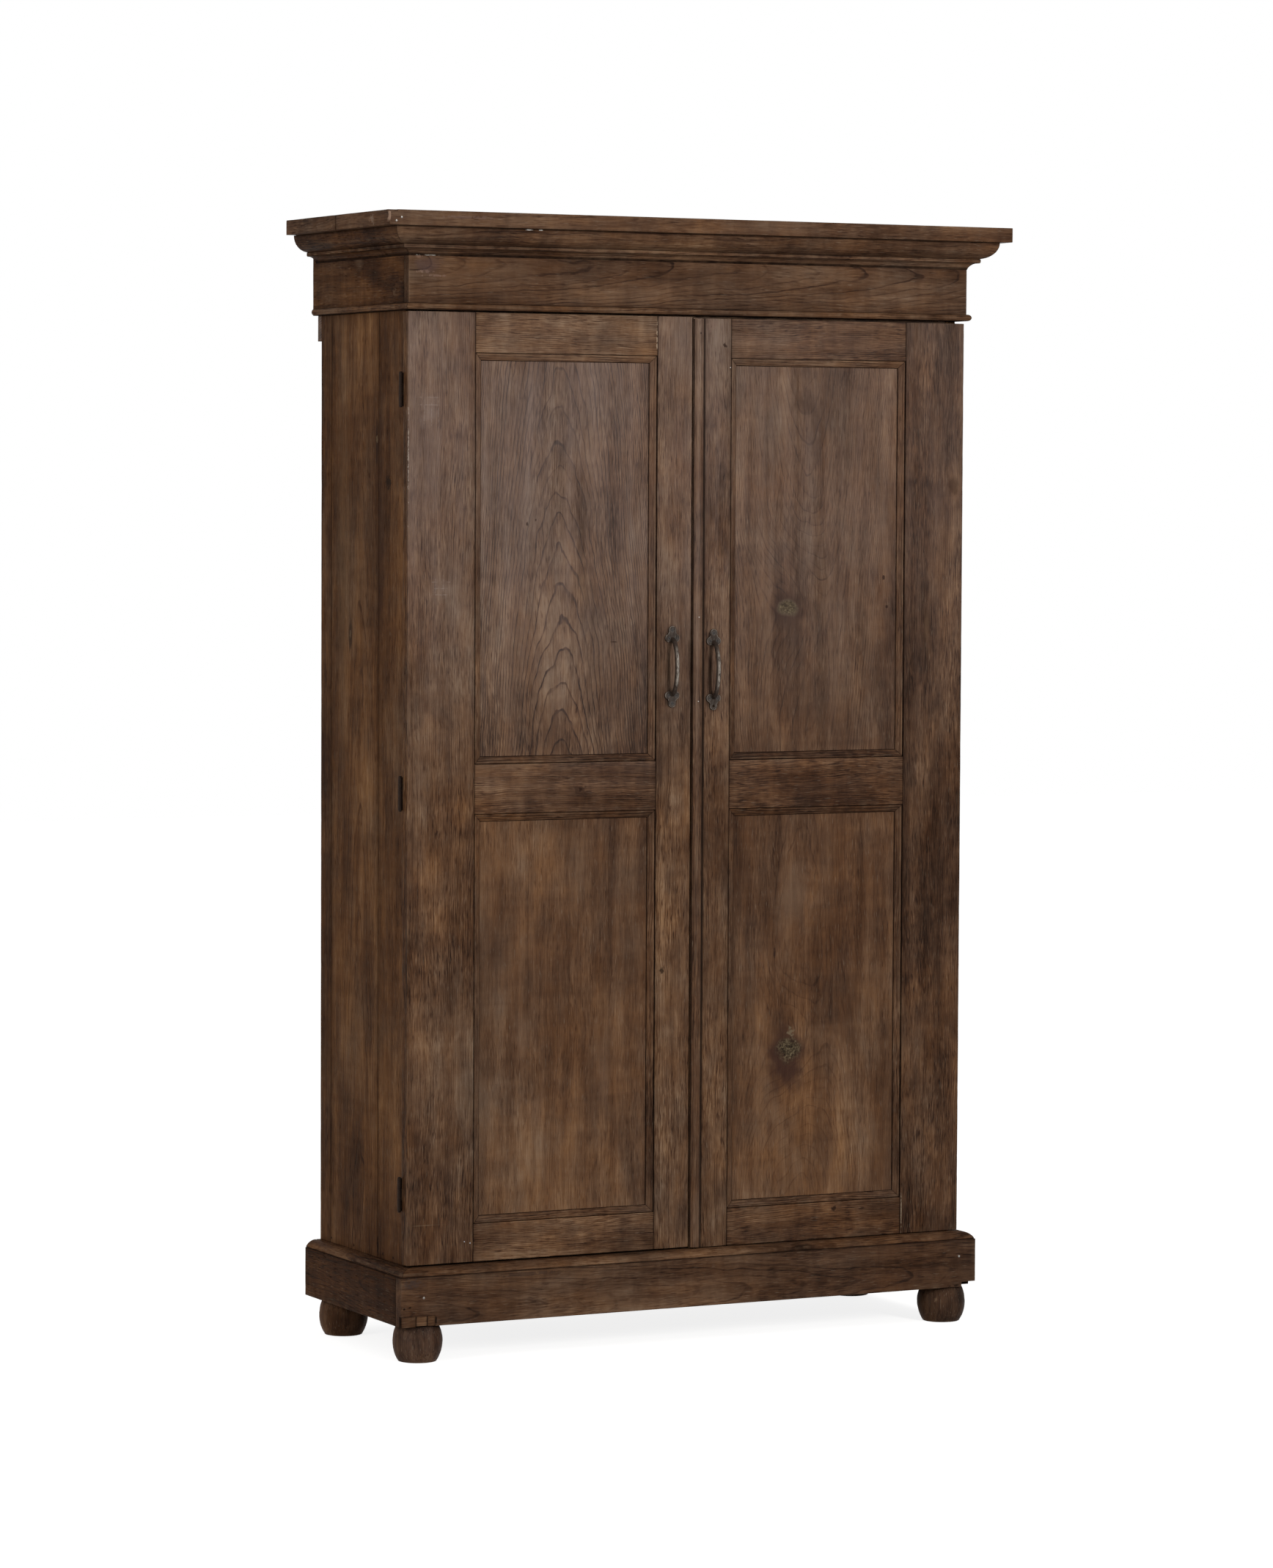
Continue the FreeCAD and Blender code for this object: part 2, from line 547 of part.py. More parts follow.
# Case sides: three upright boards each, the front one let in for the hinges, the rear one rebated
CASE_HEIGHT = "crown_bottom - base_top"
for side, hand in SIDES:
    x = "-case_half" if side == "left" else "case_half - side_thick"
    rebate_x = "-case_inner - rebate_width" if side == "left" else "case_inner - overrun"
    front = board(side + "_front_board_blank", x, "case_front", "base_top", "side_thick", "side_front_board",
                  CASE_HEIGHT)
    front = cut(side + "_side_front_board", front, *hinge_sets[side]["case_leaves"],
                *hinge_sets[side]["case_blanks"])
    middle = board(side + "_side_middle_board", x, "case_front + side_front_board", "base_top", "side_thick",
                   "case_depth - side_front_board - side_rear_board", CASE_HEIGHT)
    rear = board(side + "_rear_board_blank", x, "case_back - side_rear_board", "base_top", "side_thick",
                 "side_rear_board", CASE_HEIGHT)
    rebate = board(side + "_rebate", rebate_x, "back_face", "base_top - overrun", "rebate_width + overrun",
                   "back_thick + overrun", CASE_HEIGHT + " + 2 * overrun")
    rear = cut(side + "_side_rear_board", rear, rebate)
    sub_part(group(side + "_side_boards", [front, middle, rear]))

sub_part(board("floor_board", "-case_inner", "case_front", "base_top", "2 * case_inner",
               "back_face - case_front", "floor_thick"))
sub_part(board("ceiling_board", "-case_inner", "case_front", "ceiling_bottom", "2 * case_inner",
               "back_face - case_front", "ceiling_thick"))

# Back: upright boards in the sides' rebates, and a batten on which the crown's returns rest
back_count = int(number("back_board_count"))
back_board = f"((2 * (case_inner + rebate_width) - ({back_count} - 1) * back_joint) / {back_count})"
sub_part(group("back_boards", [
    board(f"back_board_{spot + 1}", f"-case_inner - rebate_width + {spot} * ({back_board} + back_joint)",
          "back_face", "base_top", back_board, "back_thick", CASE_HEIGHT) for spot in range(back_count)]))
sub_part(board("back_cleat", "-case_half", "case_back", "crown_bottom - cleat_height", "2 * case_half",
               "cleat_thick", "cleat_height"))

# Shelves: three loose shelves, each on a pair of cleats, the middle one behind the doors' middle rails
cleats = []
for label in ("lower_shelf", "middle_shelf", "upper_shelf"):
    shelf_z = label + "_z"
    sub_part(board(label, "-case_inner + shelf_end_play", "case_front + shelf_front_setback", shelf_z,
                   "2 * (case_inner - shelf_end_play)", "shelf_depth", "shelf_thick"))
    for side, hand in SIDES:
        x = "-case_inner" if side == "left" else "case_inner - shelf_cleat_size"
        cleats.append(board(f"{label}_{side}_cleat", x, "case_front + shelf_front_setback",
                            shelf_z + " - shelf_cleat_size", "shelf_cleat_size", "shelf_depth",
                            "shelf_cleat_size"))
sub_part(group("shelf_cleats", cleats))

# Catches: one for each door, under the ceiling board, with a plate on the door
CATCH_GAP = "catch_plate_thick + catch_air"
sub_part(group("door_catches", [
    board(side + "_catch", f"({hand}) * catch_in - catch_width / 2", "door_back + " + CATCH_GAP,
          "ceiling_bottom - catch_height", "catch_width", "catch_depth", "catch_height")
    for side, hand in SIDES]))
for side, hand in SIDES:
    sub_part(board(side + "_door_catch_plate", f"({hand}) * catch_in - catch_width / 2 + catch_plate_margin",
                   "door_back", "ceiling_bottom - catch_height + catch_plate_margin",
                   "catch_width - 2 * catch_plate_margin", "catch_plate_thick",
                   "catch_height - 2 * catch_plate_margin"))

# Crown: a box of frieze boards with glued corner blocks, standing on the case
FRIEZE_SIDE_RUN = "frieze_run - frieze_thick"
sub_part(board("frieze_front", "-frieze_half", "frieze_front_y", "crown_bottom", "2 * frieze_half",
               "frieze_thick", "frieze_height"))
for side, x in (("left", "-frieze_half"), ("right", "frieze_half - frieze_thick")):
    sub_part(board("frieze_" + side, x, "frieze_front_y + frieze_thick", "crown_bottom", "frieze_thick",
                   FRIEZE_SIDE_RUN, "frieze_height"))
sub_part(board("crown_back_rail", "-frieze_half + frieze_thick", "case_back - crown_rail_thick",
               "crown_bottom", "2 * (frieze_half - frieze_thick)", "crown_rail_thick", "frieze_height"))
blocks = []
for side, x in (("left", "-frieze_half + frieze_thick"),
                ("right", "frieze_half - frieze_thick - crown_block_size")):
    for end, y in (("front", "frieze_front_y + frieze_thick"),
                   ("back", "case_back - crown_rail_thick - crown_block_size")):
        blocks.append(board(f"crown_block_{end}_{side}", x, y, "crown_bottom", "crown_block_size",
                            "crown_block_size", "frieze_height"))
sub_part(group("crown_blocks", blocks))

# Cornice: one moulding, mitred at the front corners: a hollow, a fillet and a large round up to the cap
CORNICE_SECTION = [("0", "0", "-cornice_cove_radius"), ("cornice_step_reach", "cornice_cove_height"),
                   ("cornice_step_reach", "cornice_cove_height + cornice_fillet_height",
                    "cornice_round_radius"),
                   ("cornice_reach", "cornice_height"), ("0", "cornice_height")]
BEAD_SECTION = [("0", "0"), ("bead_flat", "0", "bead_radius"), ("bead_flat", "bead_height"),
                ("0", "bead_height")]


def mouldings_round(label, section, reach, half, front_y, back_y, z):
    """Three strips of one moulding: along the front, and returned along the left and the right."""
    run = f"({back_y}) - ({front_y})"
    front = moulded_strip(label + "_front", section, f"2 * ({half})", reach, "out", "out")
    left = moulded_strip(label + "_left", section, run, reach, "out", "square")
    right = moulded_strip(label + "_right", section, run, reach, "square", "out")
    return [place(front, half, front_y, z, TURN_FRONT), place(left, f"-({half})", front_y, z, TURN_LEFT),
            place(right, half, back_y, z, TURN_RIGHT)]


for strip in mouldings_round("cornice", CORNICE_SECTION, "cornice_reach", "frieze_half", "frieze_front_y",
                             "frieze_back_y - cornice_back_stop", "cap_bottom - cornice_height"):
    sub_part(strip)
sub_part(group("crown_bead", mouldings_round("crown_bead", BEAD_SECTION, "bead_reach", "frieze_half",
                                             "frieze_front_y", "frieze_back_y - bead_back_stop",
                                             "crown_bottom")))

# Nails: bright heads at the cap's left corner and at both ends of the plinth
nail = turned("nail", [("0", "-nail_length"), ("nail_shank_width / 2", "-nail_length + nail_shank_width"),
                       ("nail_shank_width / 2", "nail_proud - nail_head_thick"),
                       ("nail_head_width / 2", "nail_proud - nail_head_thick"),
                       ("nail_head_width / 2", "nail_proud"), ("0", "nail_proud")])
CAP_LEFT = "-frieze_half - cap_side_overhang"
CAP_FRONT = "frieze_front_y - cap_front_overhang"
CAP_TOP = "cap_bottom + cap_thick"
cap_nails = [copy_at(nail, "cap_nail_low", CAP_LEFT + " + cap_nail_in", CAP_FRONT,
                     CAP_TOP + " - cap_nail_down", NAIL_IN),
             copy_at(nail, "cap_nail_high", CAP_LEFT + " + cap_nail_in + cap_nail_step", CAP_FRONT,
                     CAP_TOP + " - cap_nail_down + cap_nail_rise", NAIL_IN)]
plinth_nails = {side: copy_at(nail, "plinth_nail_" + side, f"({hand}) * (plinth_half - {side}_nail_in)",
                              "plinth_front_y", f"foot_height + {side}_nail_up", NAIL_IN)
                for side, hand in SIDES}
sub_part(group("nails", cap_nails + list(plinth_nails.values())))

# Cap: two boards edge to edge over the crown
CAP_WIDTH = "2 * (frieze_half + cap_side_overhang)"
cap_front = board("cap_front_board_blank", CAP_LEFT, CAP_FRONT, "cap_bottom", CAP_WIDTH, "cap_front_board",
                  "cap_thick")
cap_rear = board("cap_rear_board", CAP_LEFT, CAP_FRONT + " + cap_front_board", "cap_bottom", CAP_WIDTH,
                 f"frieze_back_y - cap_back_stop - ({CAP_FRONT}) - cap_front_board", "cap_thick")
sub_part(group("cap_boards", [cut("cap_front_board", cap_front, *cap_nails), cap_rear]))

# Plinth: a frame of four boards, with repairs let in at its lower left and a broken lower right corner. The
# case stands on the mouldings along its front and sides and on a plain strip of their height at the back
PATCHES = ["patch_first", "patch_second", "patch_third"]
patch_height_shares = [1, 0.92, 0.96]
patch_starts = ["0"]
for width in PATCHES:
    patch_starts.append(f"{patch_starts[-1]} + {width} + patch_joint")
plinth_blank = board("plinth_front_blank", "-plinth_half", "plinth_front_y", "foot_height", "2 * plinth_half",
                     "plinth_thick", "plinth_height")
patch_seat = board("patch_seat", "-plinth_half - overrun", "plinth_front_y - overrun",
                   "foot_height - overrun", f"{patch_starts[-1]} - patch_joint + overrun",
                   "patch_depth + overrun", "patch_height + overrun")
chip = board("plinth_chip", "plinth_half - plinth_chip_width", "plinth_front_y - overrun",
             "foot_height - overrun", "plinth_chip_width + overrun", "plinth_thick + 2 * overrun",
             "plinth_chip_height + overrun")
sub_part(cut("plinth_front", plinth_blank, patch_seat, chip, *plinth_nails.values()))
sub_part(group("plinth_patches", [
    board(f"plinth_patch_{spot + 1}", f"-plinth_half + {start}", "plinth_front_y",
          f"foot_height + (1 - {share}) * patch_height", width, "patch_depth", f"{share} * patch_height")
    for spot, (start, width, share) in enumerate(zip(patch_starts, PATCHES, patch_height_shares))]))
for side, x in (("left", "-plinth_half"), ("right", "plinth_half - plinth_thick")):
    sub_part(board("plinth_" + side, x, "plinth_front_y + plinth_thick", "foot_height", "plinth_thick",
                   "plinth_run - plinth_thick", "plinth_height"))
sub_part(board("plinth_back", "-plinth_half + plinth_thick", "plinth_back_y - plinth_thick", "foot_height",
               "2 * (plinth_half - plinth_thick)", "plinth_thick", "plinth_height"))
MOULDING_SECTION = [("0", "0"), ("moulding_width", "0"),
                    ("moulding_width", "moulding_nose", "moulding_radius"),
                    ("moulding_width - moulding_round", "moulding_height"), ("0", "moulding_height")]
moulding_runs = mouldings_round("plinth_moulding", MOULDING_SECTION, "moulding_width", "moulding_inner_half",
                                "moulding_inner_y", "plinth_back_y", "plinth_top")
back_strip = board("plinth_moulding_back_strip", "-moulding_inner_half", "plinth_back_y - plinth_thick",
                   "plinth_top", "2 * moulding_inner_half", "plinth_thick", "moulding_height")
sub_part(group("plinth_moulding", [*moulding_runs, back_strip]))

# Feet: turned buns whose dowels go up into blocks in the plinth's corners
foot = turned("foot", [("0", "0"), ("foot_base_width / 2", "0", "foot_radius"),
                       ("foot_neck_width / 2", "foot_height"), ("dowel_width / 2", "foot_height"),
                       ("dowel_width / 2", "foot_height + dowel_length"),
                       ("0", "foot_height + dowel_length")])
feet = []
foot_blocks = []
for side, hand in SIDES:
    x = "-plinth_half + plinth_thick" if side == "left" else "plinth_half - plinth_thick - foot_block_size"
    rows = [("front", "plinth_front_y + foot_front_inset", "plinth_front_y + plinth_thick"),
            ("back", f"plinth_back_y - {side}_foot_back_inset",
             "plinth_back_y - plinth_thick - foot_block_size")]
    for end, foot_y, block_y in rows:
        foot_x = f"({hand}) * (plinth_half - foot_side_inset)"
        feet.append(copy_at(foot, f"foot_{end}_{side}", foot_x, foot_y))
        block = board(f"foot_block_{end}_{side}_blank", x, block_y, "foot_height", "foot_block_size",
                      "foot_block_size", "plinth_height")
        nails = [plinth_nails[side]] if end == "front" else []
        foot_blocks.append(cut(f"foot_block_{end}_{side}", block, feet[-1], *nails))
sub_part(group("feet", feet))
sub_part(group("foot_blocks", foot_blocks))

# Handles: one iron casting each, a bowed grip between two three-lobed plates
handle_blank, handle_screw = screw("handle_screw", "handle_screw_head", "handle_screw_shank",
                                   "handle_screw_length")
LOBES = [("-handle_lobe_side", "handle_lobe_pair"), ("handle_lobe_side", "handle_lobe_pair"),
         ("0", "handle_lobe_tip")]
SCREW_SPOTS = [(across, f"({way}) * {up}") for way in (1, -1) for across, up in LOBES]


def bent_bar(body, sketch, axis, middle, angle):
    """The grip's round bar bent about an axis along X, from the circle across one end or its middle."""
    sketch.setExpression(".AttachmentOffset.Base.y", bound(axis))
    draw_circle(sketch, "0", middle, "grip_width")
    feature = body.newObject("PartDesign::Revolution", sketch.Name + "_bar")
    feature.Profile = sketch
    feature.ReferenceAxis = (sketch, ["H_Axis"])
    feature.setExpression("Angle", bound(angle))
    return feature


casting = new_body("handle_casting")
for spot, (across, up) in enumerate(SCREW_SPOTS):
    lobe = new_sketch(casting, f"handle_lobe_{spot + 1}", "XZ_Plane")
    pad(casting, draw_circle(lobe, across, up, "handle_lobe_width"), "handle_plate_thick")
for end, way in (("top", 1), ("bottom", -1)):
    heart = new_sketch(casting, f"handle_heart_{end}", "XZ_Plane")
    pad(casting, draw_circle(heart, "0", f"({way}) * handle_heart_up", "handle_heart_width"),
        "handle_plate_thick")
    root = new_sketch(casting, f"handle_root_{end}", "XZ_Plane")
    root_bar = bent_bar(casting, root, f"({way}) * (grip_root - grip_bend)", f"({way}) * grip_bend",
                        "asin(grip_turn_out / grip_bend)")
    root_bar.Reversed = end == "bottom"
bow = new_sketch(casting, "handle_bow", "XY_Plane")
bow_bar = bent_bar(casting, bow, "grip_bow - grip_reach", "-grip_bow", "2 * asin(grip_turn_up / grip_bow)")
bow_bar.Midplane = True
handle = cut("handle", casting, *[
    copy_at(handle_blank, f"handle_hole_{spot + 1}", across, "-handle_plate_thick", up, NAIL_IN)
    for spot, (across, up) in enumerate(SCREW_SPOTS)])

# Doors: grooved frames with stub tenons, flat panels, and mitred strips round the panels
STRIP_SECTION = [("0", "0"), ("strip_width", "0"), ("strip_width", "strip_lip", "strip_width"),
                 ("strip_step_in", "strip_step_low"), ("strip_step_in", "strip_step_high"),
                 ("0", "strip_top")]
DOORS = {
    "left": {"outer": "-half_pair", "outer_stile": "left_outer_stile", "inner_stile": "left_inner_stile",
             "open_from": "-half_pair + left_outer_stile", "open_to": "-meeting_gap - left_inner_stile",
             "inner": "-meeting_gap - left_inner_stile", "bottom": "left_bottom",
             "handle_x": "-meeting_gap - left_handle_in", "handle_up": "left_handle_up", "screws": 6},
    "right": {"outer": "half_pair - right_outer_stile", "outer_stile": "right_outer_stile",
              "inner_stile": "right_inner_stile", "open_from": "right_inner_stile",
              "open_to": "half_pair - right_outer_stile", "inner": "0",
              "bottom": "left_bottom - right_door_drop", "handle_x": "right_handle_in",
              "handle_up": "right_handle_up", "screws": 5},
}
for side, door in DOORS.items():
    name = side + "_door_"
    width = f"({door['open_to']}) - ({door['open_from']})"
    rails = []
    seats = []
    level = door["bottom"]
    for rail, height, opening in (("bottom", "bottom_rail_height", "lower_opening_height"),
                                  ("middle", "middle_rail_height", "upper_opening_height"),
                                  ("top", "top_rail_height", None)):
        rails.append((rail, level, height))
        level = f"{level} + {height}"
        if opening:
            seats.append((level, opening))
            level = f"{level} + {opening}"

    seat_boxes = []
    strips = []
    for panel, (bottom, height) in zip(("lower", "upper"), seats):
        seat_boxes.append(board(f"{name}{panel}_groove", f"{door['open_from']} - panel_groove", "panel_face",
                                f"{bottom} - panel_groove", f"{width} + 2 * panel_groove", "panel_thick",
                                f"{height} + 2 * panel_groove"))
        tongue = "(panel_groove - panel_play)"
        sub_part(board(f"{name}{panel}_panel", f"{door['open_from']} - {tongue}", "panel_face",
                       f"{bottom} - {tongue}", f"{width} + 2 * {tongue}", "panel_thick",
                       f"{height} + 2 * {tongue}"))
        flat = moulded_strip(f"{name}{panel}_flat_strip", STRIP_SECTION, width, "strip_width", "in", "in")
        upright = moulded_strip(f"{name}{panel}_upright_strip", STRIP_SECTION, height, "strip_width", "in",
                                "in")
        top = f"{bottom} + {height}"
        for edge, source, x, z, turn in (("bottom", flat, door["open_from"], bottom, 0),
                                         ("left", upright, door["open_from"], top, 90),
                                         ("top", flat, door["open_to"], top, 180),
                                         ("right", upright, door["open_to"], bottom, 270)):
            facing = FreeCAD.Rotation(Vector(0, 1, 0), turn).multiply(NAIL_IN)
            strips.append(copy_at(source, f"{name}{panel}_{edge}_strip", x, "panel_face", z, facing))
    sub_part(group(name + "panel_mouldings", strips))

    tenons = []
    for rail, bottom, height in rails:
        tenon = board(f"{name}{rail}_tenon", f"{door['open_from']} - tenon_length", "panel_face",
                      f"{bottom} + tenon_shoulder", f"{width} + 2 * tenon_length", "panel_thick",
                      f"{height} - 2 * tenon_shoulder")
        tenons.append(tenon)
        blank = board(f"{name}{rail}_rail_blank", door["open_from"], "door_face", bottom, width, "door_thick",
                      height)
        tenoned = fuse(f"{name}{rail}_rail_tenoned", blank, tenon)
        sub_part(cut(f"{name}{rail}_rail", tenoned, *seat_boxes))

    handle_z = f"{door['bottom']} + handles_up + {door['handle_up']}"
    sub_part(copy_at(handle, name + "handle", door["handle_x"], "door_face", handle_z))
    screws = []
    blanks = []
    for spot, (across, up) in enumerate(SCREW_SPOTS):
        at = (f"{door['handle_x']} + {across}", "door_face - handle_plate_thick", f"{handle_z} + {up}",
              NAIL_IN)
        blanks.append(copy_at(handle_blank, f"{name}handle_blank_{spot + 1}", *at))
        screws.append(copy_at(handle_screw, f"{name}handle_screw_{spot + 1}", *at))
    sub_part(group(name + "handle_screws", screws[:door["screws"]]))

    outer = board(name + "hinge_stile_blank", door["outer"], "door_face", door["bottom"], door["outer_stile"],
                  "door_thick", "door_height")
    inner = board(name + "meeting_stile_blank", door["inner"], "door_face", door["bottom"],
                  door["inner_stile"], "door_thick", "door_height")
    sub_part(cut(name + "hinge_stile", outer, *seat_boxes, *tenons, *hinge_sets[side]["door_leaves"],
                 *hinge_sets[side]["door_blanks"]))
    sub_part(cut(name + "meeting_stile", inner, *seat_boxes, *tenons, *blanks))

# Meeting bead: a half-round strip nailed to the right door along its meeting edge
bead = new_body("right_door_meeting_bead")
bead_outline = new_sketch(bead, "meeting_bead_outline", "XY_Plane")
draw(bead_outline, [("0", "0"), ("0", "-meeting_bead_edge", "meeting_bead_radius"),
                    ("meeting_bead_width", "-meeting_bead_edge"), ("meeting_bead_width", "0")])
pad(bead, bead_outline, "door_height - 2 * meeting_bead_inset")
sub_part(place(bead, "0", "door_face", DOORS["right"]["bottom"] + " + meeting_bead_inset"))

# Check every object and every sub-part before anything is written
doc.recompute()
for item in doc.Objects:
    if "Invalid" in item.State or "Error" in item.State:
        raise RuntimeError(f"{item.Label} failed: {item.State}")
labels = [piece.Label for piece in SUB_PARTS]
if len(set(labels)) != len(labels):
    raise RuntimeError("two sub-parts share a name")
for piece in SUB_PARTS:
    shape = Part.getShape(piece)
    if shape.isNull() or not shape.isValid() or not shape.Solids:
        raise RuntimeError(f"{piece.Label} has no sound solid")

for piece in SUB_PARTS:
    Part.getShape(piece).exportStep(f"parts/{piece.Label}.step")
print(len(SUB_PARTS), "sub-parts written")
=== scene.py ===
import functools
import math

import bmesh
import bpy
import numpy as np
from mathutils import Matrix, Vector, noise


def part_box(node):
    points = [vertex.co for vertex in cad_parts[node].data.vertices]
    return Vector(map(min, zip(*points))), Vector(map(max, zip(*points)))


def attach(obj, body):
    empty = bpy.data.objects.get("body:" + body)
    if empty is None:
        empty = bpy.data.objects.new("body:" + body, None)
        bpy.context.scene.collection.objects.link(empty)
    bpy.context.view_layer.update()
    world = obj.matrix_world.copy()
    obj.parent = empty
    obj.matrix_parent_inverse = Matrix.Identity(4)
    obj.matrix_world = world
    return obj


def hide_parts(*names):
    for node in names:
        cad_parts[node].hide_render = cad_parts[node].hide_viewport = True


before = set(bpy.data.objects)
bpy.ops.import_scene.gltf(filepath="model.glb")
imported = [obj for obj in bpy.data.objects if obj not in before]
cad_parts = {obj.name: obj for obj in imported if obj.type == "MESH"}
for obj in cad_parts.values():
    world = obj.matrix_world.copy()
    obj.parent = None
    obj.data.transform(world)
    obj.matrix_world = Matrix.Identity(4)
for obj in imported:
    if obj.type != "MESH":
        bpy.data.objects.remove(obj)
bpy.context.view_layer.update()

# A tall two-door teak cabinet on bun feet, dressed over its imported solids. Lengths are metres, and a
# number times mm is in millimetres. The front faces -Y.
mm = 0.001

# ---------------------------------------------------------------------------------------------------
# Camera, floor and light: a long lens from the cabinet's left front, a pale studio floor, one large
# soft lamp to the right of the camera, a weaker one on the left and a low even light all round.
camera_place = (-4.2932, -8.4357, 1.5238)
camera_turn = math.radians(26.858)
camera_dip = math.radians(3.227)
camera_roll = math.radians(0.264)
camera_lens = 120.04
film_width = 36
white = (1, 1, 1)
room_light_colour = (0.98, 0.97, 0.96)
room_light_strength = 0.46
floor_reach = 14
floor_grey = (0.45, 0.45, 0.45)
floor_glow_strength = 0.84


def placed(name, data):
    """A new object of this data, put in the scene."""
    made = bpy.data.objects.new(name, data)
    bpy.context.scene.collection.objects.link(made)
    return made


ahead = Vector((math.sin(camera_turn) * math.cos(camera_dip), math.cos(camera_turn) * math.cos(camera_dip),
                -math.sin(camera_dip)))
level_right = Vector((math.cos(camera_turn), -math.sin(camera_turn), 0))
level_up = level_right.cross(ahead)
right = level_right * math.cos(camera_roll) + level_up * math.sin(camera_roll)
up = level_up * math.cos(camera_roll) - level_right * math.sin(camera_roll)
camera = placed("camera", bpy.data.cameras.new("camera"))
camera.data.lens = camera_lens
camera.data.sensor_width = film_width
camera.matrix_world = Matrix((right, up, -ahead)).transposed().to_4x4()
camera.location = camera_place
bpy.context.scene.camera = camera
bpy.context.scene.view_settings.view_transform = "Standard"


def node_in(tree, kind, sockets=None, **settings):
    """One node of a tree. A socket is given by its name or number, as a value or another node's output."""
    made = tree.nodes.new(kind)
    for name, value in settings.items():
        setattr(made, name, value)
    for name, value in (sockets or {}).items():
        socket = made.inputs[name]
        if isinstance(value, bpy.types.NodeSocket):
            tree.links.new(value, socket)
        elif socket.type == "RGBA":
            socket.default_value = (*value, 1)
        else:
            socket.default_value = value
    return made


def shader(tree, kind, sockets=None, **settings):
    """One shader node, made as node_in makes it."""
    return node_in(tree, "ShaderNode" + kind, sockets, **settings)


def tree_of(*values):
    """The tree that the outputs among these values belong to."""
    return next(value.id_data for value in values if isinstance(value, bpy.types.NodeSocket))


def reckon(operation, *values, clamp=False):
    """A sum between numbers and outputs, made in the outputs' own tree."""
    return shader(tree_of(*values), "Math", dict(enumerate(values)), operation=operation,
                  use_clamp=clamp).outputs[0]


def times(*values):
    """The product of several numbers or outputs."""
    return functools.reduce(lambda first, second: reckon("MULTIPLY", first, second), values)


def seen_rays(tree):
    """1 for what the camera sees, straight or in a gloss, and 0 for the light that falls on things."""
    rays = shader(tree, "LightPath").outputs
    gloss = reckon("MAXIMUM", rays["Is Glossy Ray"], rays["Is Transmission Ray"])
    return reckon("MAXIMUM", rays["Is Camera Ray"], gloss)


def emptied(owner):
    """The node tree of a material or of the world, with nothing in it."""
    owner.use_nodes = True
    owner.node_tree.nodes.clear()
    return owner.node_tree


world = bpy.data.worlds.new("studio")
bpy.context.scene.world = world
air = emptied(world)
room_light = shader(air, "Background", {"Color": room_light_colour, "Strength": room_light_strength})
backdrop = shader(air, "Background", {"Color": white, "Strength": 1.0})
chosen = shader(air, "MixShader", {0: seen_rays(air), 1: room_light.outputs[0], 2: backdrop.outputs[0]})
shader(air, "OutputWorld", {"Surface": chosen.outputs[0]})

floor_mesh = bpy.data.meshes.new("floor")
floor_corners = [(x * floor_reach, y * floor_reach, 0) for x, y in ((-1, -1), (1, -1), (1, 1), (-1, 1))]
floor_mesh.from_pydata(floor_corners, [], [(0, 1, 2, 3)])
floor_paint = bpy.data.materials.new("studio_floor")
paint = emptied(floor_paint)
matt = shader(paint, "BsdfDiffuse", {"Color": floor_grey})
glow = shader(paint, "Emission", {"Color": white, "Strength": times(seen_rays(paint), floor_glow_strength)})
matt_and_glow = shader(paint, "AddShader", {0: matt.outputs[0], 1: glow.outputs[0]})
shader(paint, "OutputMaterial", {"Surface": matt_and_glow.outputs[0]})
floor_mesh.materials.append(floor_paint)
floor = placed("floor", floor_mesh)


def soft_lamp(name, place, target, width, height, power, colour):
    """A soft box: a rectangular lamp that looks at a target."""
    lamp = placed(name, bpy.data.lights.new(name, "AREA"))
    lamp.data.shape = "RECTANGLE"
    lamp.data.size = width
    lamp.data.size_y = height
    lamp.data.energy = power
    lamp.data.color = colour
    lamp.location = place
    lamp.rotation_euler = (Vector(target) - Vector(place)).to_track_quat("-Z", "Y").to_euler()


soft_lamp("front_soft_box", (1.55, -5.2, 2.55), (0, -0.2, 1.1), 1.1, 1.5, 150, (1.0, 0.97, 0.94))
soft_lamp("left_soft_box", (-5.2, -1.6, 2.2), (-0.5, 0, 1.0), 1.6, 2.2, 85, (1.0, 0.95, 0.88))

# ---------------------------------------------------------------------------------------------------
# Case sides: three upright teak boards glued edge to edge on each side, rubbed with dark polish.
# The front ones are let in for the hinges, and all have softened, worn edges.
wood_tones = [(0.0, (0.016, 0.0075, 0.0045)), (0.25, (0.040, 0.0185, 0.0105)), (0.5, (0.082, 0.041, 0.0235)),
              (0.75, (0.145, 0.080, 0.048)), (1.0, (0.240, 0.150, 0.098))]
cool_to_warm = [(0.0, (0.88, 1.0, 1.06)), (1.0, (1.12, 0.98, 0.70))]
wax_and_sheen_grey = (0.215, 0.163, 0.150)
pore_dust = (0.29, 0.225, 0.165)
rubbed_and_highlit_wood = (0.255, 0.170, 0.108)
dirt_and_shade_colour = (0.009, 0.005, 0.0035)
crumb_tones = [(0.38, (0.012, 0.008, 0.005)), (0.52, (0.065, 0.047, 0.027)), (0.68, (0.190, 0.150, 0.090))]


def total(*values):
    """The sum of several numbers or outputs."""
    return functools.reduce(lambda first, second: reckon("ADD", first, second), values)


def reckon_vectors(operation, *values):
    """A sum between vectors, or one's length, made in the first one's tree."""
    made = shader(values[0].id_data, "VectorMath", dict(enumerate(values)), operation=operation)
    return made.outputs["Value" if operation == "LENGTH" else 0]


def cloud(place, stretch, shift=(0, 0, 0), detail=2.0, roughness=0.5, distortion=0.0):
    """Soft noise between 0 and 1, with so many lumps a metre across, through and along the grain."""
    moved = reckon_vectors("MULTIPLY_ADD", place, stretch, shift)
    return shader(moved.id_data, "TexNoise", {"Vector": moved, "Scale": 1.0, "Detail": detail,
                                              "Roughness": roughness, "Distortion": distortion}).outputs[0]


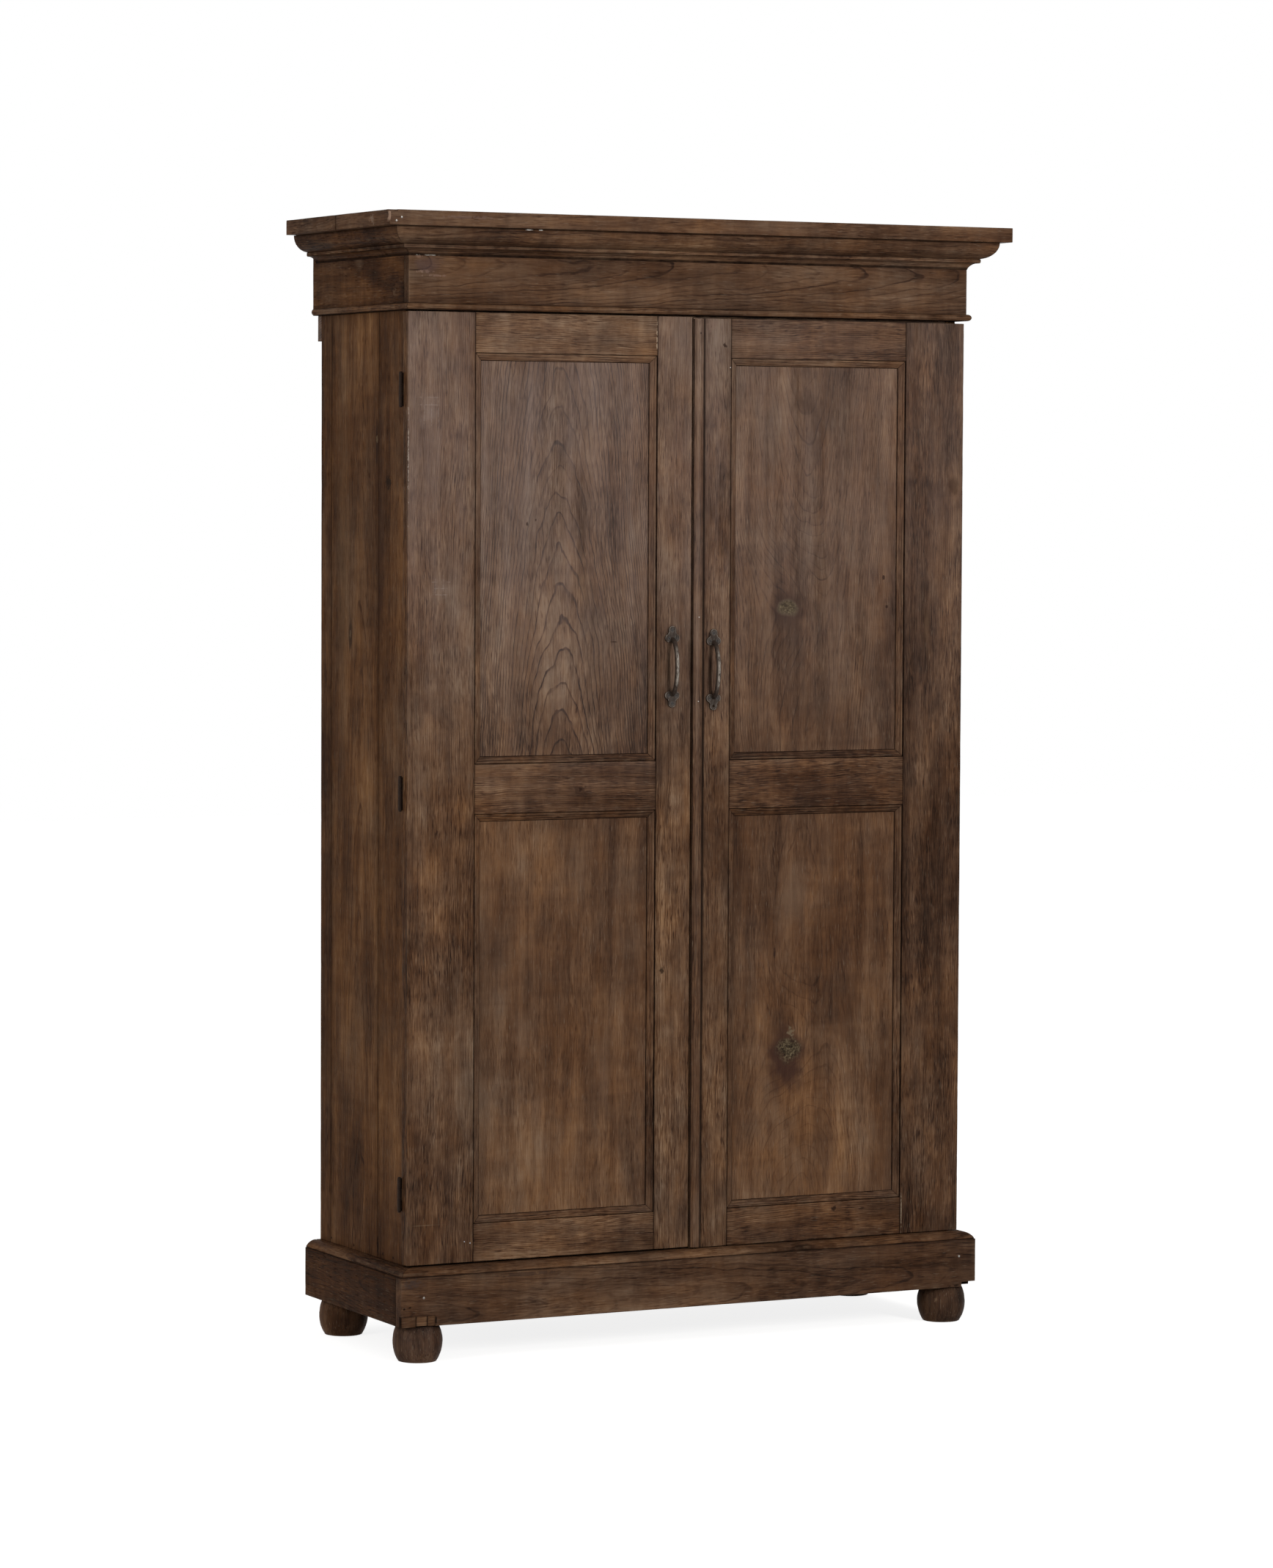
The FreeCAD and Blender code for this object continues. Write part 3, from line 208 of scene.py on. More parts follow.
def scaled(value, factor, shift):
    """A value times a factor, with a shift added."""
    return reckon("MULTIPLY_ADD", value, factor, shift)


def about(value, amount):
    """Noise turned into a swing of so much to either side of nothing."""
    return scaled(value, 2 * amount, -amount)


def between(value, low, high):
    """0 below the low value, 1 above the high one, smooth between."""
    return shader(value.id_data, "MapRange", {0: value, 1: low, 2: high},
                  interpolation_type="SMOOTHSTEP").outputs[0]


def mixed(share, first, second, way="MIX"):
    """Two colours mixed."""
    return shader(tree_of(share, first, second), "Mix", {0: share, 6: first, 7: second}, data_type="RGBA",
                  blend_type=way).outputs[2]


def ramp(value, stops):
    """Colours read off a scale."""
    made = shader(value.id_data, "ValToRGB", {0: value})
    scale = made.color_ramp
    while len(scale.elements) < len(stops):
        scale.elements.new(0.5)
    for element, (place, colour) in zip(scale.elements, stops):
        element.position = place
        element.color = (*colour, 1)
    return made.outputs[0]


# The wood itself. Grain is a place in the board: across, through and along it. Heart is where the tree's
# middle lay: across, behind the face, and how fast the rings widen. Tint is light, warm and bloom, the bloom
# partly a grey wax bloom and partly a painted sheen. Edge is wear, and grime with painted shade.
teak = bpy.data.node_groups.new("teak", "ShaderNodeTree")
for name, kind in (("Grain", "Vector"), ("Heart", "Vector"), ("Tint", "Vector"), ("Edge", "Vector"),
                   ("Place", "Vector"), ("Knot", "Vector"), ("Knot Reach", "Float"), ("Ring Gap", "Float"),
                   ("Lines", "Float"), ("Pores", "Float"), ("Clouds", "Float")):
    teak.interface.new_socket(name=name, in_out="INPUT", socket_type="NodeSocket" + kind)
for name, kind in (("Colour", "Color"), ("Roughness", "Float"), ("Height", "Float")):
    teak.interface.new_socket(name=name, in_out="OUTPUT", socket_type="NodeSocket" + kind)
given = teak.nodes.new("NodeGroupInput").outputs
grain, place = given["Grain"], given["Place"]
parts = {name: shader(teak, "SeparateXYZ", {0: given[name]}).outputs
         for name in ("Grain", "Heart", "Tint", "Edge")}
across, depth, along = parts["Grain"]
heart_across, heart_behind, heart_widening = parts["Heart"]
light, warm, bloom_and_sheen = parts["Tint"]
worn, grimy_and_shaded = parts["Edge"][:2]

# The grain sways as it runs, and a knot pushes it aside
across = total(across, total(about(cloud(grain, (4.5, 4.5, 1.5)), 0.016),
                             about(cloud(grain, (20, 20, 7), (3, 1, 7)), 0.0050),
                             about(cloud(grain, (90, 90, 24), (9, 4, 2)), 0.0011)))
swayed = shader(teak, "CombineXYZ", {0: across, 1: depth, 2: along}).outputs[0]
off_knot = reckon_vectors("MULTIPLY", reckon_vectors("SUBTRACT", place, given["Knot"]), (1.0, 1.0, 0.6))
knot_share = reckon("POWER", reckon("DIVIDE", reckon_vectors("LENGTH", off_knot), given["Knot Reach"]), 2.0)
knot_push = times(reckon("EXPONENT", times(knot_share, -1.0)), times(given["Knot Reach"], 0.30))

# Growth rings: cones round the tree's heart, their dark edges thin where they cross the board's middle
from_heart = reckon("SUBTRACT", across, heart_across)
to_heart = reckon("SQRT", total(reckon("POWER", from_heart, 2.0),
                                reckon("POWER", total(depth, heart_behind), 2.0)))
ring_place = total(to_heart, times(heart_widening, along), knot_push,
                   about(cloud(grain, (34, 34, 20), (2, 2, 6)), 0.0010),
                   about(cloud(grain, (11, 11, 5), (8, 1, 1)), 0.0035))
ring_count = reckon("DIVIDE", ring_place, given["Ring Gap"])
ring_share = reckon("FRACT", ring_count)
ring_own = shader(teak, "TexWhiteNoise", {"W": reckon("FLOOR", ring_count)},
                  noise_dimensions="1D").outputs["Value"]
slant = reckon("DIVIDE", reckon("ABSOLUTE", from_heart), to_heart)
line_start = scaled(slant, -0.45, 0.88)
line_middle = scaled(line_start, 0.4, 0.58)
ring_edge = times(between(ring_share, line_start, line_middle), between(ring_share, 1.0, 0.96))
ring_shade = times(reckon("POWER", ring_share, 3.0), 0.30)
broken = scaled(between(cloud(swayed, (60, 60, 11), (1, 6, 4), 2.0), 0.38, 0.60), 0.75, 0.25)
ring_line = times(scaled(ring_edge, broken, ring_shade), times(given["Lines"], scaled(ring_own, 1.1, 0.35)))

# Fibres, open pores, dust in them, mottles and clouds of darker and lighter wood, and ripples across it
fibres = cloud(swayed, (400, 400, 32), (5, 2, 1), 2.0, 0.55)
pores = between(cloud(swayed, (430, 430, 42), (1, 8, 3), 1.0), 0.57, 0.69)
dust = between(cloud(swayed, (560, 560, 46), (7, 7, 5), 1.0), 0.62, 0.76)
threads = cloud(swayed, (150, 150, 7), (6, 6, 3), 3.0, 0.6)
streaks = cloud(swayed, (40, 40, 1.9), (2, 6, 9), 3.0, 0.6, 0.3)
clouds = cloud(grain, (9, 9, 3.8), (4, 4, 4), 4.0, 0.55, 0.3)
ripples = cloud(grain, (7, 7, 34), (6, 1, 2), 3.0, 0.55, 0.6)
mottle = cloud(place, (34, 34, 17), (3, 7, 1), 4.0, 0.6, 0.4)
patches = cloud(place, (2.6, 2.6, 2.2), (1, 5, 2), 2.0)
flames = cloud(swayed, (17, 17, 2.6), (3, 9, 2), 3.0, 0.5)
open_grain = times(scaled(between(cloud(swayed, (16, 16, 5), (7, 3, 5), 3.0), 0.36, 0.62), 0.80, 0.35),
                   given["Pores"])
tone = total(light, times(about(clouds, 0.40), given["Clouds"]), times(about(ripples, 0.12), given["Clouds"]),
             about(streaks, 0.30), about(patches, 0.27), about(flames, 0.35),
             times(about(mottle, 0.38), given["Pores"]), times(about(fibres, 0.58), open_grain),
             about(threads, 0.21), times(ring_line, -0.50),
             times(reckon("SUBTRACT", times(pores, open_grain), 0.10), -0.36))
warmth = total(warm, about(cloud(place, (6, 6, 3), (8, 2, 8), 3.0), 0.7),
               about(cloud(swayed, (26, 26, 10), (2, 8, 8), 4.0, 0.65), 0.9))
colour = mixed(1.0, ramp(tone, wood_tones), ramp(warmth, cool_to_warm), "MULTIPLY")

# A grey bloom of old wax and dust that lies along the fibres, and on the door fronts a painted sheen
bloom_and_sheen_share = reckon("MULTIPLY", bloom_and_sheen, total(0.62, about(streaks, 0.55), about(fibres, 0.45),
                                              about(clouds, 0.55)), clamp=True)
colour = mixed(bloom_and_sheen_share, colour, wax_and_sheen_grey)
colour = mixed(times(dust, 0.22), colour, pore_dust)

# Arrises rubbed paler in places, and on the meeting bead's crest a painted highlight; dirt left in the joints,
# with painted shade spreading from them and lying in creases
rubbed_and_highlit = between(cloud(place, (42, 42, 16), (3, 3, 3), 3.0), 0.42, 0.70)
colour = mixed(times(worn, rubbed_and_highlit, 0.32), colour, rubbed_and_highlit_wood)
grime_and_shade_noise = total(0.85, about(cloud(place, (60, 60, 60), (4, 9, 1)), 0.35))
colour = mixed(reckon("MULTIPLY", grimy_and_shaded, grime_and_shade_noise, clamp=True), colour, dirt_and_shade_colour)
node_in(teak, "NodeGroupOutput", {
    "Colour": colour,
    "Roughness": total(0.50, about(clouds, 0.10), about(fibres, 0.10), times(pores, 0.20), times(grimy_and_shaded, 0.3)),
    "Height": total(times(fibres, 0.35), times(pores, -0.5), times(ring_line, -0.35), times(streaks, 0.6))})


def teak_finish(name, ring_gap, lines, gloss, pores=1.0, clouds=1.0, knot=(0, 0, -9), knot_reach=0.05,
                marks=()):
    """Teak for one group of boards. A mark is its middle and half sizes in mm, its colour (or "crumbly"),
    how much of it shows and how ragged it is."""
    material = bpy.data.materials.new(name)
    tree = emptied(material)
    place = shader(tree, "TexCoord").outputs["Object"]
    wood = node_in(tree, "ShaderNodeGroup", node_tree=teak)
    for socket in ("Grain", "Heart", "Tint", "Edge"):
        stored = shader(tree, "Attribute", attribute_name=socket.lower())
        tree.links.new(stored.outputs["Vector"], wood.inputs[socket])
    tree.links.new(place, wood.inputs["Place"])
    for socket, value in (("Knot", knot), ("Knot Reach", knot_reach), ("Ring Gap", ring_gap),
                          ("Lines", lines), ("Pores", pores), ("Clouds", clouds)):
        wood.inputs[socket].default_value = value
    colour = wood.outputs["Colour"]
    fine_shake, coarse_shake = [reckon_vectors("SUBTRACT", shader(tree, "TexNoise", {
        "Vector": place, "Scale": lumps, "Detail": 4.0}).outputs["Color"], (0.5, 0.5, 0.5))
        for lumps in (150.0, 30.0)]
    crumbs = ramp(cloud(place, (250, 250, 250), (4, 2, 6), 4.0, 0.7), crumb_tones)
    for middle, half_sizes, mark_colour, share, ragged in marks:
        thin = min(half_sizes)
        large = max(half_sizes) > 16 and ragged < 1.2
        jog = reckon_vectors("MULTIPLY", coarse_shake if large else fine_shake,
                             [2.5 * ragged if size > thin else 0 for size in half_sizes])
        away = reckon_vectors("SUBTRACT", place, [v * mm for v in middle])
        away = reckon_vectors("MULTIPLY_ADD", away, [1 / (size * mm) for size in half_sizes], jog)
        inside = between(reckon_vectors("LENGTH", away), 1.0, 0.10 if large and share < 0.5 else 0.40)
        colour = mixed(times(inside, share), colour, crumbs if mark_colour == "crumbly" else mark_colour)
    bump = shader(tree, "Bump", {"Strength": 0.45, "Distance": 0.6 * mm, "Height": wood.outputs["Height"]})
    surface = shader(tree, "BsdfPrincipled", {
        "Base Color": colour, "Roughness": wood.outputs["Roughness"], "Normal": bump.outputs[0],
        "Specular IOR Level": gloss})
    shader(tree, "OutputMaterial", {"Surface": surface.outputs[0]})
    return material


def uneven(points, lumps, seed):
    """Smooth noise between -1 and 1 at each point, with so many lumps a metre."""
    away = Vector((seed * 3.1, seed * 1.7, seed * 0.9))
    return np.array([noise.noise(Vector(point) * lumps + away) for point in points])


def divided(low, high, step, soft, cuts):
    """Where a board is divided along one axis: closely at its ends and cuts, and a step apart between."""
    near = np.array([0, 0.3, 1, 1.6]) * soft
    middle = np.linspace(low + near[-1], high - near[-1], max(2, int((high - low) / step) + 1))
    spots = np.concatenate([low + near[:-1], middle, high - near[-2::-1]])
    for cut in cuts:
        if low + near[-1] < cut < high - near[-1]:
            spots = spots[np.abs(spots - cut) > 0.3 * mm]
            spots = np.concatenate([spots, [cut - 0.1 * mm, cut + 0.1 * mm]])
    return np.sort(spots)


def box_skin(xs, ys, zs):
    """The closed skin of a box divided at these places: its points, and its faces of four, facing out."""
    counts = (len(xs), len(ys), len(zs))
    quads = []
    for axis in range(3):
        first, second = (axis + 1) % 3, (axis + 2) % 3
        i, j = np.meshgrid(range(counts[first] - 1), range(counts[second] - 1), indexing="ij")
        for end in (0, counts[axis] - 1):
            ring = []
            for step_i, step_j in ((0, 0), (1, 0), (1, 1), (0, 1)):
                key = np.zeros(i.shape + (3,), int)
                key[..., axis] = end
                key[..., first] = i + step_i
                key[..., second] = j + step_j
                ring.append(key.reshape(-1, 3))
            ring = np.stack(ring, 1)
            quads.append(ring if end else ring[:, ::-1])
    quads = np.concatenate(quads)
    keys, faces = np.unique(quads.reshape(-1, 3), axis=0, return_inverse=True)
    return np.stack([xs[keys[:, 0]], ys[keys[:, 1]], zs[keys[:, 2]]], 1), faces.reshape(-1, 4)


def at_each_point(value, points, depth=0):
    """A heart or a tint at each point, whether it is the same all over or worked out from the place."""
    if callable(value):
        return value(points, np.zeros(len(points)) + depth)
    return np.tile(value, (len(points), 1))


box_sides = ("-x", "-y", "-z", "+x", "+y", "+z")
edge_round, edge_sway, edge_dents = 0.45, 0.35, 0.5
worn_width = 2.2 * mm
dirt_line = 1.1 * mm
joint_shade_spread = 14 * mm
unworn_by_joints = 3 * mm
grain_shift = 1.37


def board(low, high, along, through, seed, heart, tint, joints="", soft=1.6 * mm, step=12 * mm, let_in=()):
    """One board between two corners. Along names its length, through the side its face looks to, and
    joints the sides that touch other boards. Let_in gives regions pressed back: corners, axis, limit, way."""
    low, high = np.array(low, float), np.array(high, float)
    cuts = [[], [], []]
    for region_low, region_high, axis, limit, way in let_in:
        for other in range(3):
            if other != axis:
                cuts[other] += [region_low[other], region_high[other]]
    points, faces = box_skin(*[divided(low[i], high[i], step, soft, cuts[i]) for i in range(3)])
    gaps = np.concatenate([points - low, high - points], 1)
    joint_sides = [box_sides.index(side) for side in joints.split()]
    free = gaps.copy()
    free[:, joint_sides] = 1
    wear = np.exp(-np.sort(free, 1)[:, 1] / worn_width)
    grime_and_shade = np.zeros(len(points))
    if joint_sides:
        to_joint = gaps[:, joint_sides].min(1)
        wear *= to_joint > unworn_by_joints
        # Dark along the joints: a dirt line, and painted shade spreading out from it.
        grime_and_shade = np.exp(-to_joint / dirt_line) * 0.9 + 0.16 * np.exp(-to_joint / joint_shade_spread)
    length_axis = "xyz".index(along)
    face_axis = "xyz".index(through[1])
    across_axis = 3 - length_axis - face_axis
    face = low[face_axis] if through[0] == "-" else high[face_axis]
    grain = np.stack([points[:, across_axis] - (low + high)[across_axis] / 2,
                      np.abs(points[:, face_axis] - face), points[:, length_axis] + seed * grain_shift], 1)

    swing = uneven(points, 22, seed)
    dents = np.clip(uneven(points, 75, seed + 5), 0, 1)
    radius = soft * np.clip(edge_round + edge_sway * swing + edge_dents * dents, 0.12, 1)
    radius = np.minimum(radius, (high - low).min() / 2)[:, None]
    inner = np.clip(points, low + radius, high - radius)
    off = points - inner
    on_edge = (np.abs(off) > 1e-7).sum(1) > 1
    length = np.maximum(np.linalg.norm(off, axis=1, keepdims=True), 1e-9)
    shaped = np.where(on_edge[:, None], inner + off / length * radius, points)
    for region_low, region_high, axis, limit, way in let_in:
        inside = (points > np.array(region_low)) & (points < np.array(region_high))
        inside[:, axis] = True
        inside = inside.all(1)
        pressed = np.minimum if way == "below" else np.maximum
        shaped[inside, axis] = pressed(shaped[inside, axis], limit)
    return {"points": shaped, "faces": faces.tolist(), "grain": grain,
            "heart": at_each_point(heart, points), "tint": at_each_point(tint, points, grain[:, 1]),
            "edge": np.stack([wear, grime_and_shade, np.zeros(len(points))], 1)}


def fitted(name, mesh, body, slot, *nodes):
    """One object of a finished mesh, riding on its body in place of its nodes."""
    made = placed(name, mesh)
    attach(made, body)
    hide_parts(*nodes)


def piece(name, solids, material, body, slot, *nodes, sharp=50):
    """One wooden piece made of several solids."""
    points = np.concatenate([solid["points"] for solid in solids])
    faces = []
    start = 0
    for solid in solids:
        faces += [[corner + start for corner in face] for face in solid["faces"]]
        start += len(solid["points"])
    mesh = bpy.data.meshes.new(name)
    mesh.from_pydata(points.tolist(), [], faces)
    shell = bmesh.new()
    shell.from_mesh(mesh)
    bmesh.ops.recalc_face_normals(shell, faces=shell.faces)
    shell.to_mesh(mesh)
    shell.free()
    for kind in ("grain", "heart", "tint", "edge"):
        values = np.concatenate([solid[kind] for solid in solids]).astype(np.float32)
        mesh.attributes.new(kind, "FLOAT_VECTOR", "POINT").data.foreach_set("vector", values.ravel())
    mesh.shade_smooth()
    mesh.set_sharp_from_angle(angle=math.radians(sharp))
    mesh.materials.append(material)
    fitted(name, mesh, body, slot, *nodes)


case_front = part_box("left_side_boards")[0].y
hinge_heights = [291.5 * mm, 993 * mm, 1694.5 * mm]
hinge_half = 29 * mm
leaf_thick = 1.6 * mm
leaf_end = 531.9 * mm
past_edge = 600 * mm
side_front_board = 112 * mm
side_rear_board = 47 * mm

# A let-in that is open to one side reaches this far, past the whole cabinet
far = 9


def leaf_recesses(hand, limit, way):
    """The three places on one side where hinge leaves are let in."""
    near, outer = sorted((hand * leaf_end, hand * past_edge))
    return [((near, -far, height - hinge_half), (outer, far, height + hinge_half), 1, limit, way)
            for height in hinge_heights]


side_teak = teak_finish("side_teak", ring_gap=4 * mm, lines=0.35, pores=0.5, gloss=0.008, marks=[
    ((-550, 118, 1400), (3, 44, 420), (0.105, 0.062, 0.034), 0.35, 0.5),
    ((-550, -45, 1440), (3, 22, 330), (0.034, 0.016, 0.010), 0.50, 0.5),
    ((-550, -30, 1605), (3, 8, 62), (0.020, 0.010, 0.007), 0.75, 0.3),
    ((-550, -30, 1609), (3, 5, 10), (0.14, 0.095, 0.055), 0.70, 0.6),
    ((-550, -74, 1535), (3, 26, 44), (0.030, 0.015, 0.009), 0.45, 0.5),
    ((-550, -80, 1535), (3, 16, 16), (0.014, 0.008, 0.005), 0.80, 0.7),
    ((-550, 84, 1262), (3, 10, 42), (0.018, 0.010, 0.007), 0.75, 0.4),
    ((-550, 85, 1264), (3, 3.5, 9), (0.14, 0.095, 0.06), 0.70, 0.6),
    ((-550, 41, 180), (3, 1.6, 12), (0.010, 0.005, 0.003), 0.8, 0.5),
    ((-550, -40, 187), (6, 5, 26), (0.008, 0.004, 0.003), 0.9, 1.2),
    ((-550, 165, 174), (4, 3, 3), (0.006, 0.003, 0.002), 0.95, 0.4),
    *[((-550, along, height), (4, 3.2, 4), (0.006, 0.003, 0.002), 0.95, 0.4)
      for along, height in ((65, 174), (-62, 175), (-106, 174))]])
for side, hand in (("left", -1), ("right", 1)):
    low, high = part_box(side + "_side_boards")
    joint_front = low.y + side_front_board
    joint_rear = high.y - side_rear_board
    face = "-x" if side == "left" else "+x"
    piece(side + "_side", [
        board(low, (high.x, joint_front, high.z), "z", face, 11 + hand, (0.30, 0.02, 0.004),
              (0.47, 0.72, 0.01), "+y -z +z", let_in=leaf_recesses(hand, case_front + leaf_thick, "above")),
        board((low.x, joint_front, low.z), (high.x, joint_rear, high.z), "z", face, 13 + hand,
              (-0.02, 0.12, 0.02), (0.525, 0.72, 0.01), "-y +y -z +z"),
        board((low.x, joint_rear, low.z), high, "z", face, 15 + hand, (0.25, 0.04, 0.003),
              (0.41, 0.72, 0.01), "-y -z +z")],
        side_teak, "carcase", "side_teak", side + "_side_boards")

# ---------------------------------------------------------------------------------------------------
# Floor, ceiling, back and shelves: plainer teak boards, planed and left without polish. The shelves lie
# loose on cleats, and the back is six upright boards in the sides' rebates.
inner_teak = teak_finish("inner_teak", ring_gap=5 * mm, lines=0.8, clouds=0.7, gloss=0.1)
inner_tint = (0.56, 0.62, 0.12)
inner_step = 20 * mm
back_count = 6
cleat_size = 20 * mm


def inner_piece(name, solids, node):
    """One piece of the plain wood inside the case."""
    piece(name, solids, inner_teak, "carcase", "inner_teak", node)


for seed, name in enumerate(("floor_board", "ceiling_board", "lower_shelf", "middle_shelf", "upper_shelf")):
    inner_piece(name.replace("_board", "") + "_plank", [
        board(*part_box(name), "x", "+z", 21 + seed, (0.02, 0.10, 0.02), inner_tint, step=inner_step)], name)
low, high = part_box("back_boards")
back_width = (high.x - low.x) / back_count
inner_piece("back_planks", [
    board((low.x + spot * back_width, low.y, low.z), (low.x + (spot + 1) * back_width, high.y, high.z),
          "z", "+y", 31 + spot, (0.04 * math.sin(spot * 2.1), 0.08, 0.03),
          (0.52 + 0.05 * math.sin(spot * 1.9), 0.55, 0.18), step=16 * mm)
    for spot in range(back_count)], "back_boards")
inner_piece("back_batten", [board(*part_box("back_cleat"), "x", "+y", 38, (0.2, 0.05, 0.01),
                                  (0.46, 0.5, 0.15), step=16 * mm)], "back_cleat")
low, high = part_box("shelf_cleats")
cleat_sticks = []
for shelf in ("lower_shelf", "middle_shelf", "upper_shelf"):
    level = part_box(shelf)[0].z
    for left_end in (low.x, high.x - cleat_size):
        cleat_sticks.append(board(
            (left_end, low.y, level - cleat_size), (left_end + cleat_size, high.y, level), "y", "+x",
            41 + len(cleat_sticks), (0.1, 0.03, 0.01), inner_tint, step=inner_step))
inner_piece("shelf_cleat_sticks", cleat_sticks, "shelf_cleats")

# ---------------------------------------------------------------------------------------------------
# Crown: a box of frieze boards round the top, the front one with tall arched grain lying on its side,
# glued to corner blocks and a back rail, and scuffed pale at its left corner.
crown_teak = teak_finish("crown_teak", ring_gap=3 * mm, lines=0.5, pores=0.40, gloss=0.008, marks=[
    ((-548, -180, 1962), (8, 6, 3), (0.24, 0.15, 0.10), 0.6, 1.6),
    ((-540, -180, 1924), (9, 6, 4), (0.22, 0.13, 0.09), 0.7, 1.8),
    ((-528, -180, 1898), (14, 6, 4), (0.25, 0.16, 0.12), 0.65, 1.8),
    ((-505, -180, 1891), (22, 6, 3), (0.22, 0.14, 0.11), 0.5, 1.8),
    ((-520, -180, 1912), (30, 6, 22), (0.10, 0.062, 0.055), 0.5, 0.8)])
frieze_side_teak = teak_finish("frieze_side_teak", ring_gap=5 * mm, lines=0.15, pores=0.4, clouds=1.9,
                               gloss=0.008, marks=[
    ((-557, 33, 1925), (6, 24, 22), (0.125, 0.078, 0.050), 0.45, 0.8),
    ((-557, -118, 1862), (6, 7, 10), (0.13, 0.08, 0.05), 0.5, 1.4)])
crown_block = 30 * mm


def behind_face(depth):
    """0 on a board's face, and 1 from a few millimetres behind it."""
    return np.clip(depth / (3 * mm) - 0.2, 0, 1)


def dark_edged(light, warm, bloom_and_sheen, drop):
    """A board's tint, darker on its edges and ends than on its face."""
    def tint(points, depth):
        behind = behind_face(depth)
        return np.stack([light - drop * behind, np.full(len(points), warm), bloom_and_sheen * (1 - behind)], 1)
    return tint


def corner_blocks(node, size, seed):
    """The four upright blocks of a node, from the corners of its box."""
    low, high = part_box(node)
    return [board((x, y, low.z), (x + size, y + size, high.z), "z", "-y", seed + spot, (0.02, 0.03, 0.01),
                  inner_tint, step=inner_step)
            for spot, (x, y) in enumerate([(low.x, low.y), (high.x - size, low.y), (low.x, high.y - size),
                                           (high.x - size, high.y - size)])]


piece("frieze_front_plank", [
    board(*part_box("frieze_front"), "x", "-y", 51, (0.012, 0.11, 0.030), dark_edged(0.47, 0.48, 0.07, 0.26),
          "-z +z", soft=2 * mm, step=9 * mm)], crown_teak, "carcase", "crown_teak", "frieze_front")
# The frieze's side boards are tinted darker than its front: painted shade.
for side, face in (("left", "-x"), ("right", "+x")):
    piece(f"frieze_{side}_plank", [
        board(*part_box("frieze_" + side), "y", face, 53 + len(side), (0.3, 0.02, 0.004), (0.27, 0.85, 0.0),
              "-y -z +z", step=10 * mm)], frieze_side_teak, "carcase", "crown_teak", "frieze_" + side)
inner_piece("crown_rail", [board(*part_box("crown_back_rail"), "x", "+y", 57, (0.05, 0.1, 0.02), inner_tint,
                                 step=inner_step)], "crown_back_rail")
inner_piece("crown_corner_blocks", corner_blocks("crown_blocks", crown_block, 61), "crown_blocks")

# ---------------------------------------------------------------------------------------------------
# Cornice and bead: planed mouldings, mitred at the two front corners and returned along the sides. The
# cornice is a hollow, a fillet and a large round up to the cap, and the bead is a half round.
moulding_teak = teak_finish("moulding_teak", ring_gap=4 * mm, lines=0.5, pores=0.7, clouds=1.1, gloss=0.01,
                            marks=[
    ((-580, -203, 1950), (14, 14, 16), (0.16, 0.095, 0.055), 0.45, 1.4),
    ((-348, -223, 1972), (9, 5, 1.5), (0.62, 0.60, 0.56), 0.90, 0.6),
    ((-325, -223, 1972), (5, 5, 1.4), (0.62, 0.60, 0.56), 0.85, 0.6),
    ((-517, -181, 1926), (24, 4, 1.3), (0.45, 0.42, 0.38), 0.60, 1.6)])
cornice_height = 49 * mm
end_spacing = np.array([0, 0.9, 2.2]) * mm
mitre_dirt = 0.9


def arc(start, end, radius, steps):
    """The points of an arc after its start. It bulges to the right of its way, or left if negative."""
    start, end = np.array(start, float), np.array(end, float)
    way = end - start
    across = np.array([way[1], -way[0]]) / np.linalg.norm(way) * math.copysign(1, radius)
    centre = (start + end) / 2 - across * math.sqrt(max(radius ** 2 - way @ way / 4, 0))
    first = math.atan2(*(start - centre)[::-1])
    sweep = (math.atan2(*(end - centre)[::-1]) - first + math.pi) % (2 * math.pi) - math.pi
    return [tuple(centre + abs(radius) * np.array([math.cos(first + sweep * k / steps),
                                                   math.sin(first + sweep * k / steps)]))
            for k in range(1, steps + 1)]


def in_metres(outline):
    """An outline drawn in millimetres, in metres."""
    return [(across * mm, up * mm) for across, up in outline]


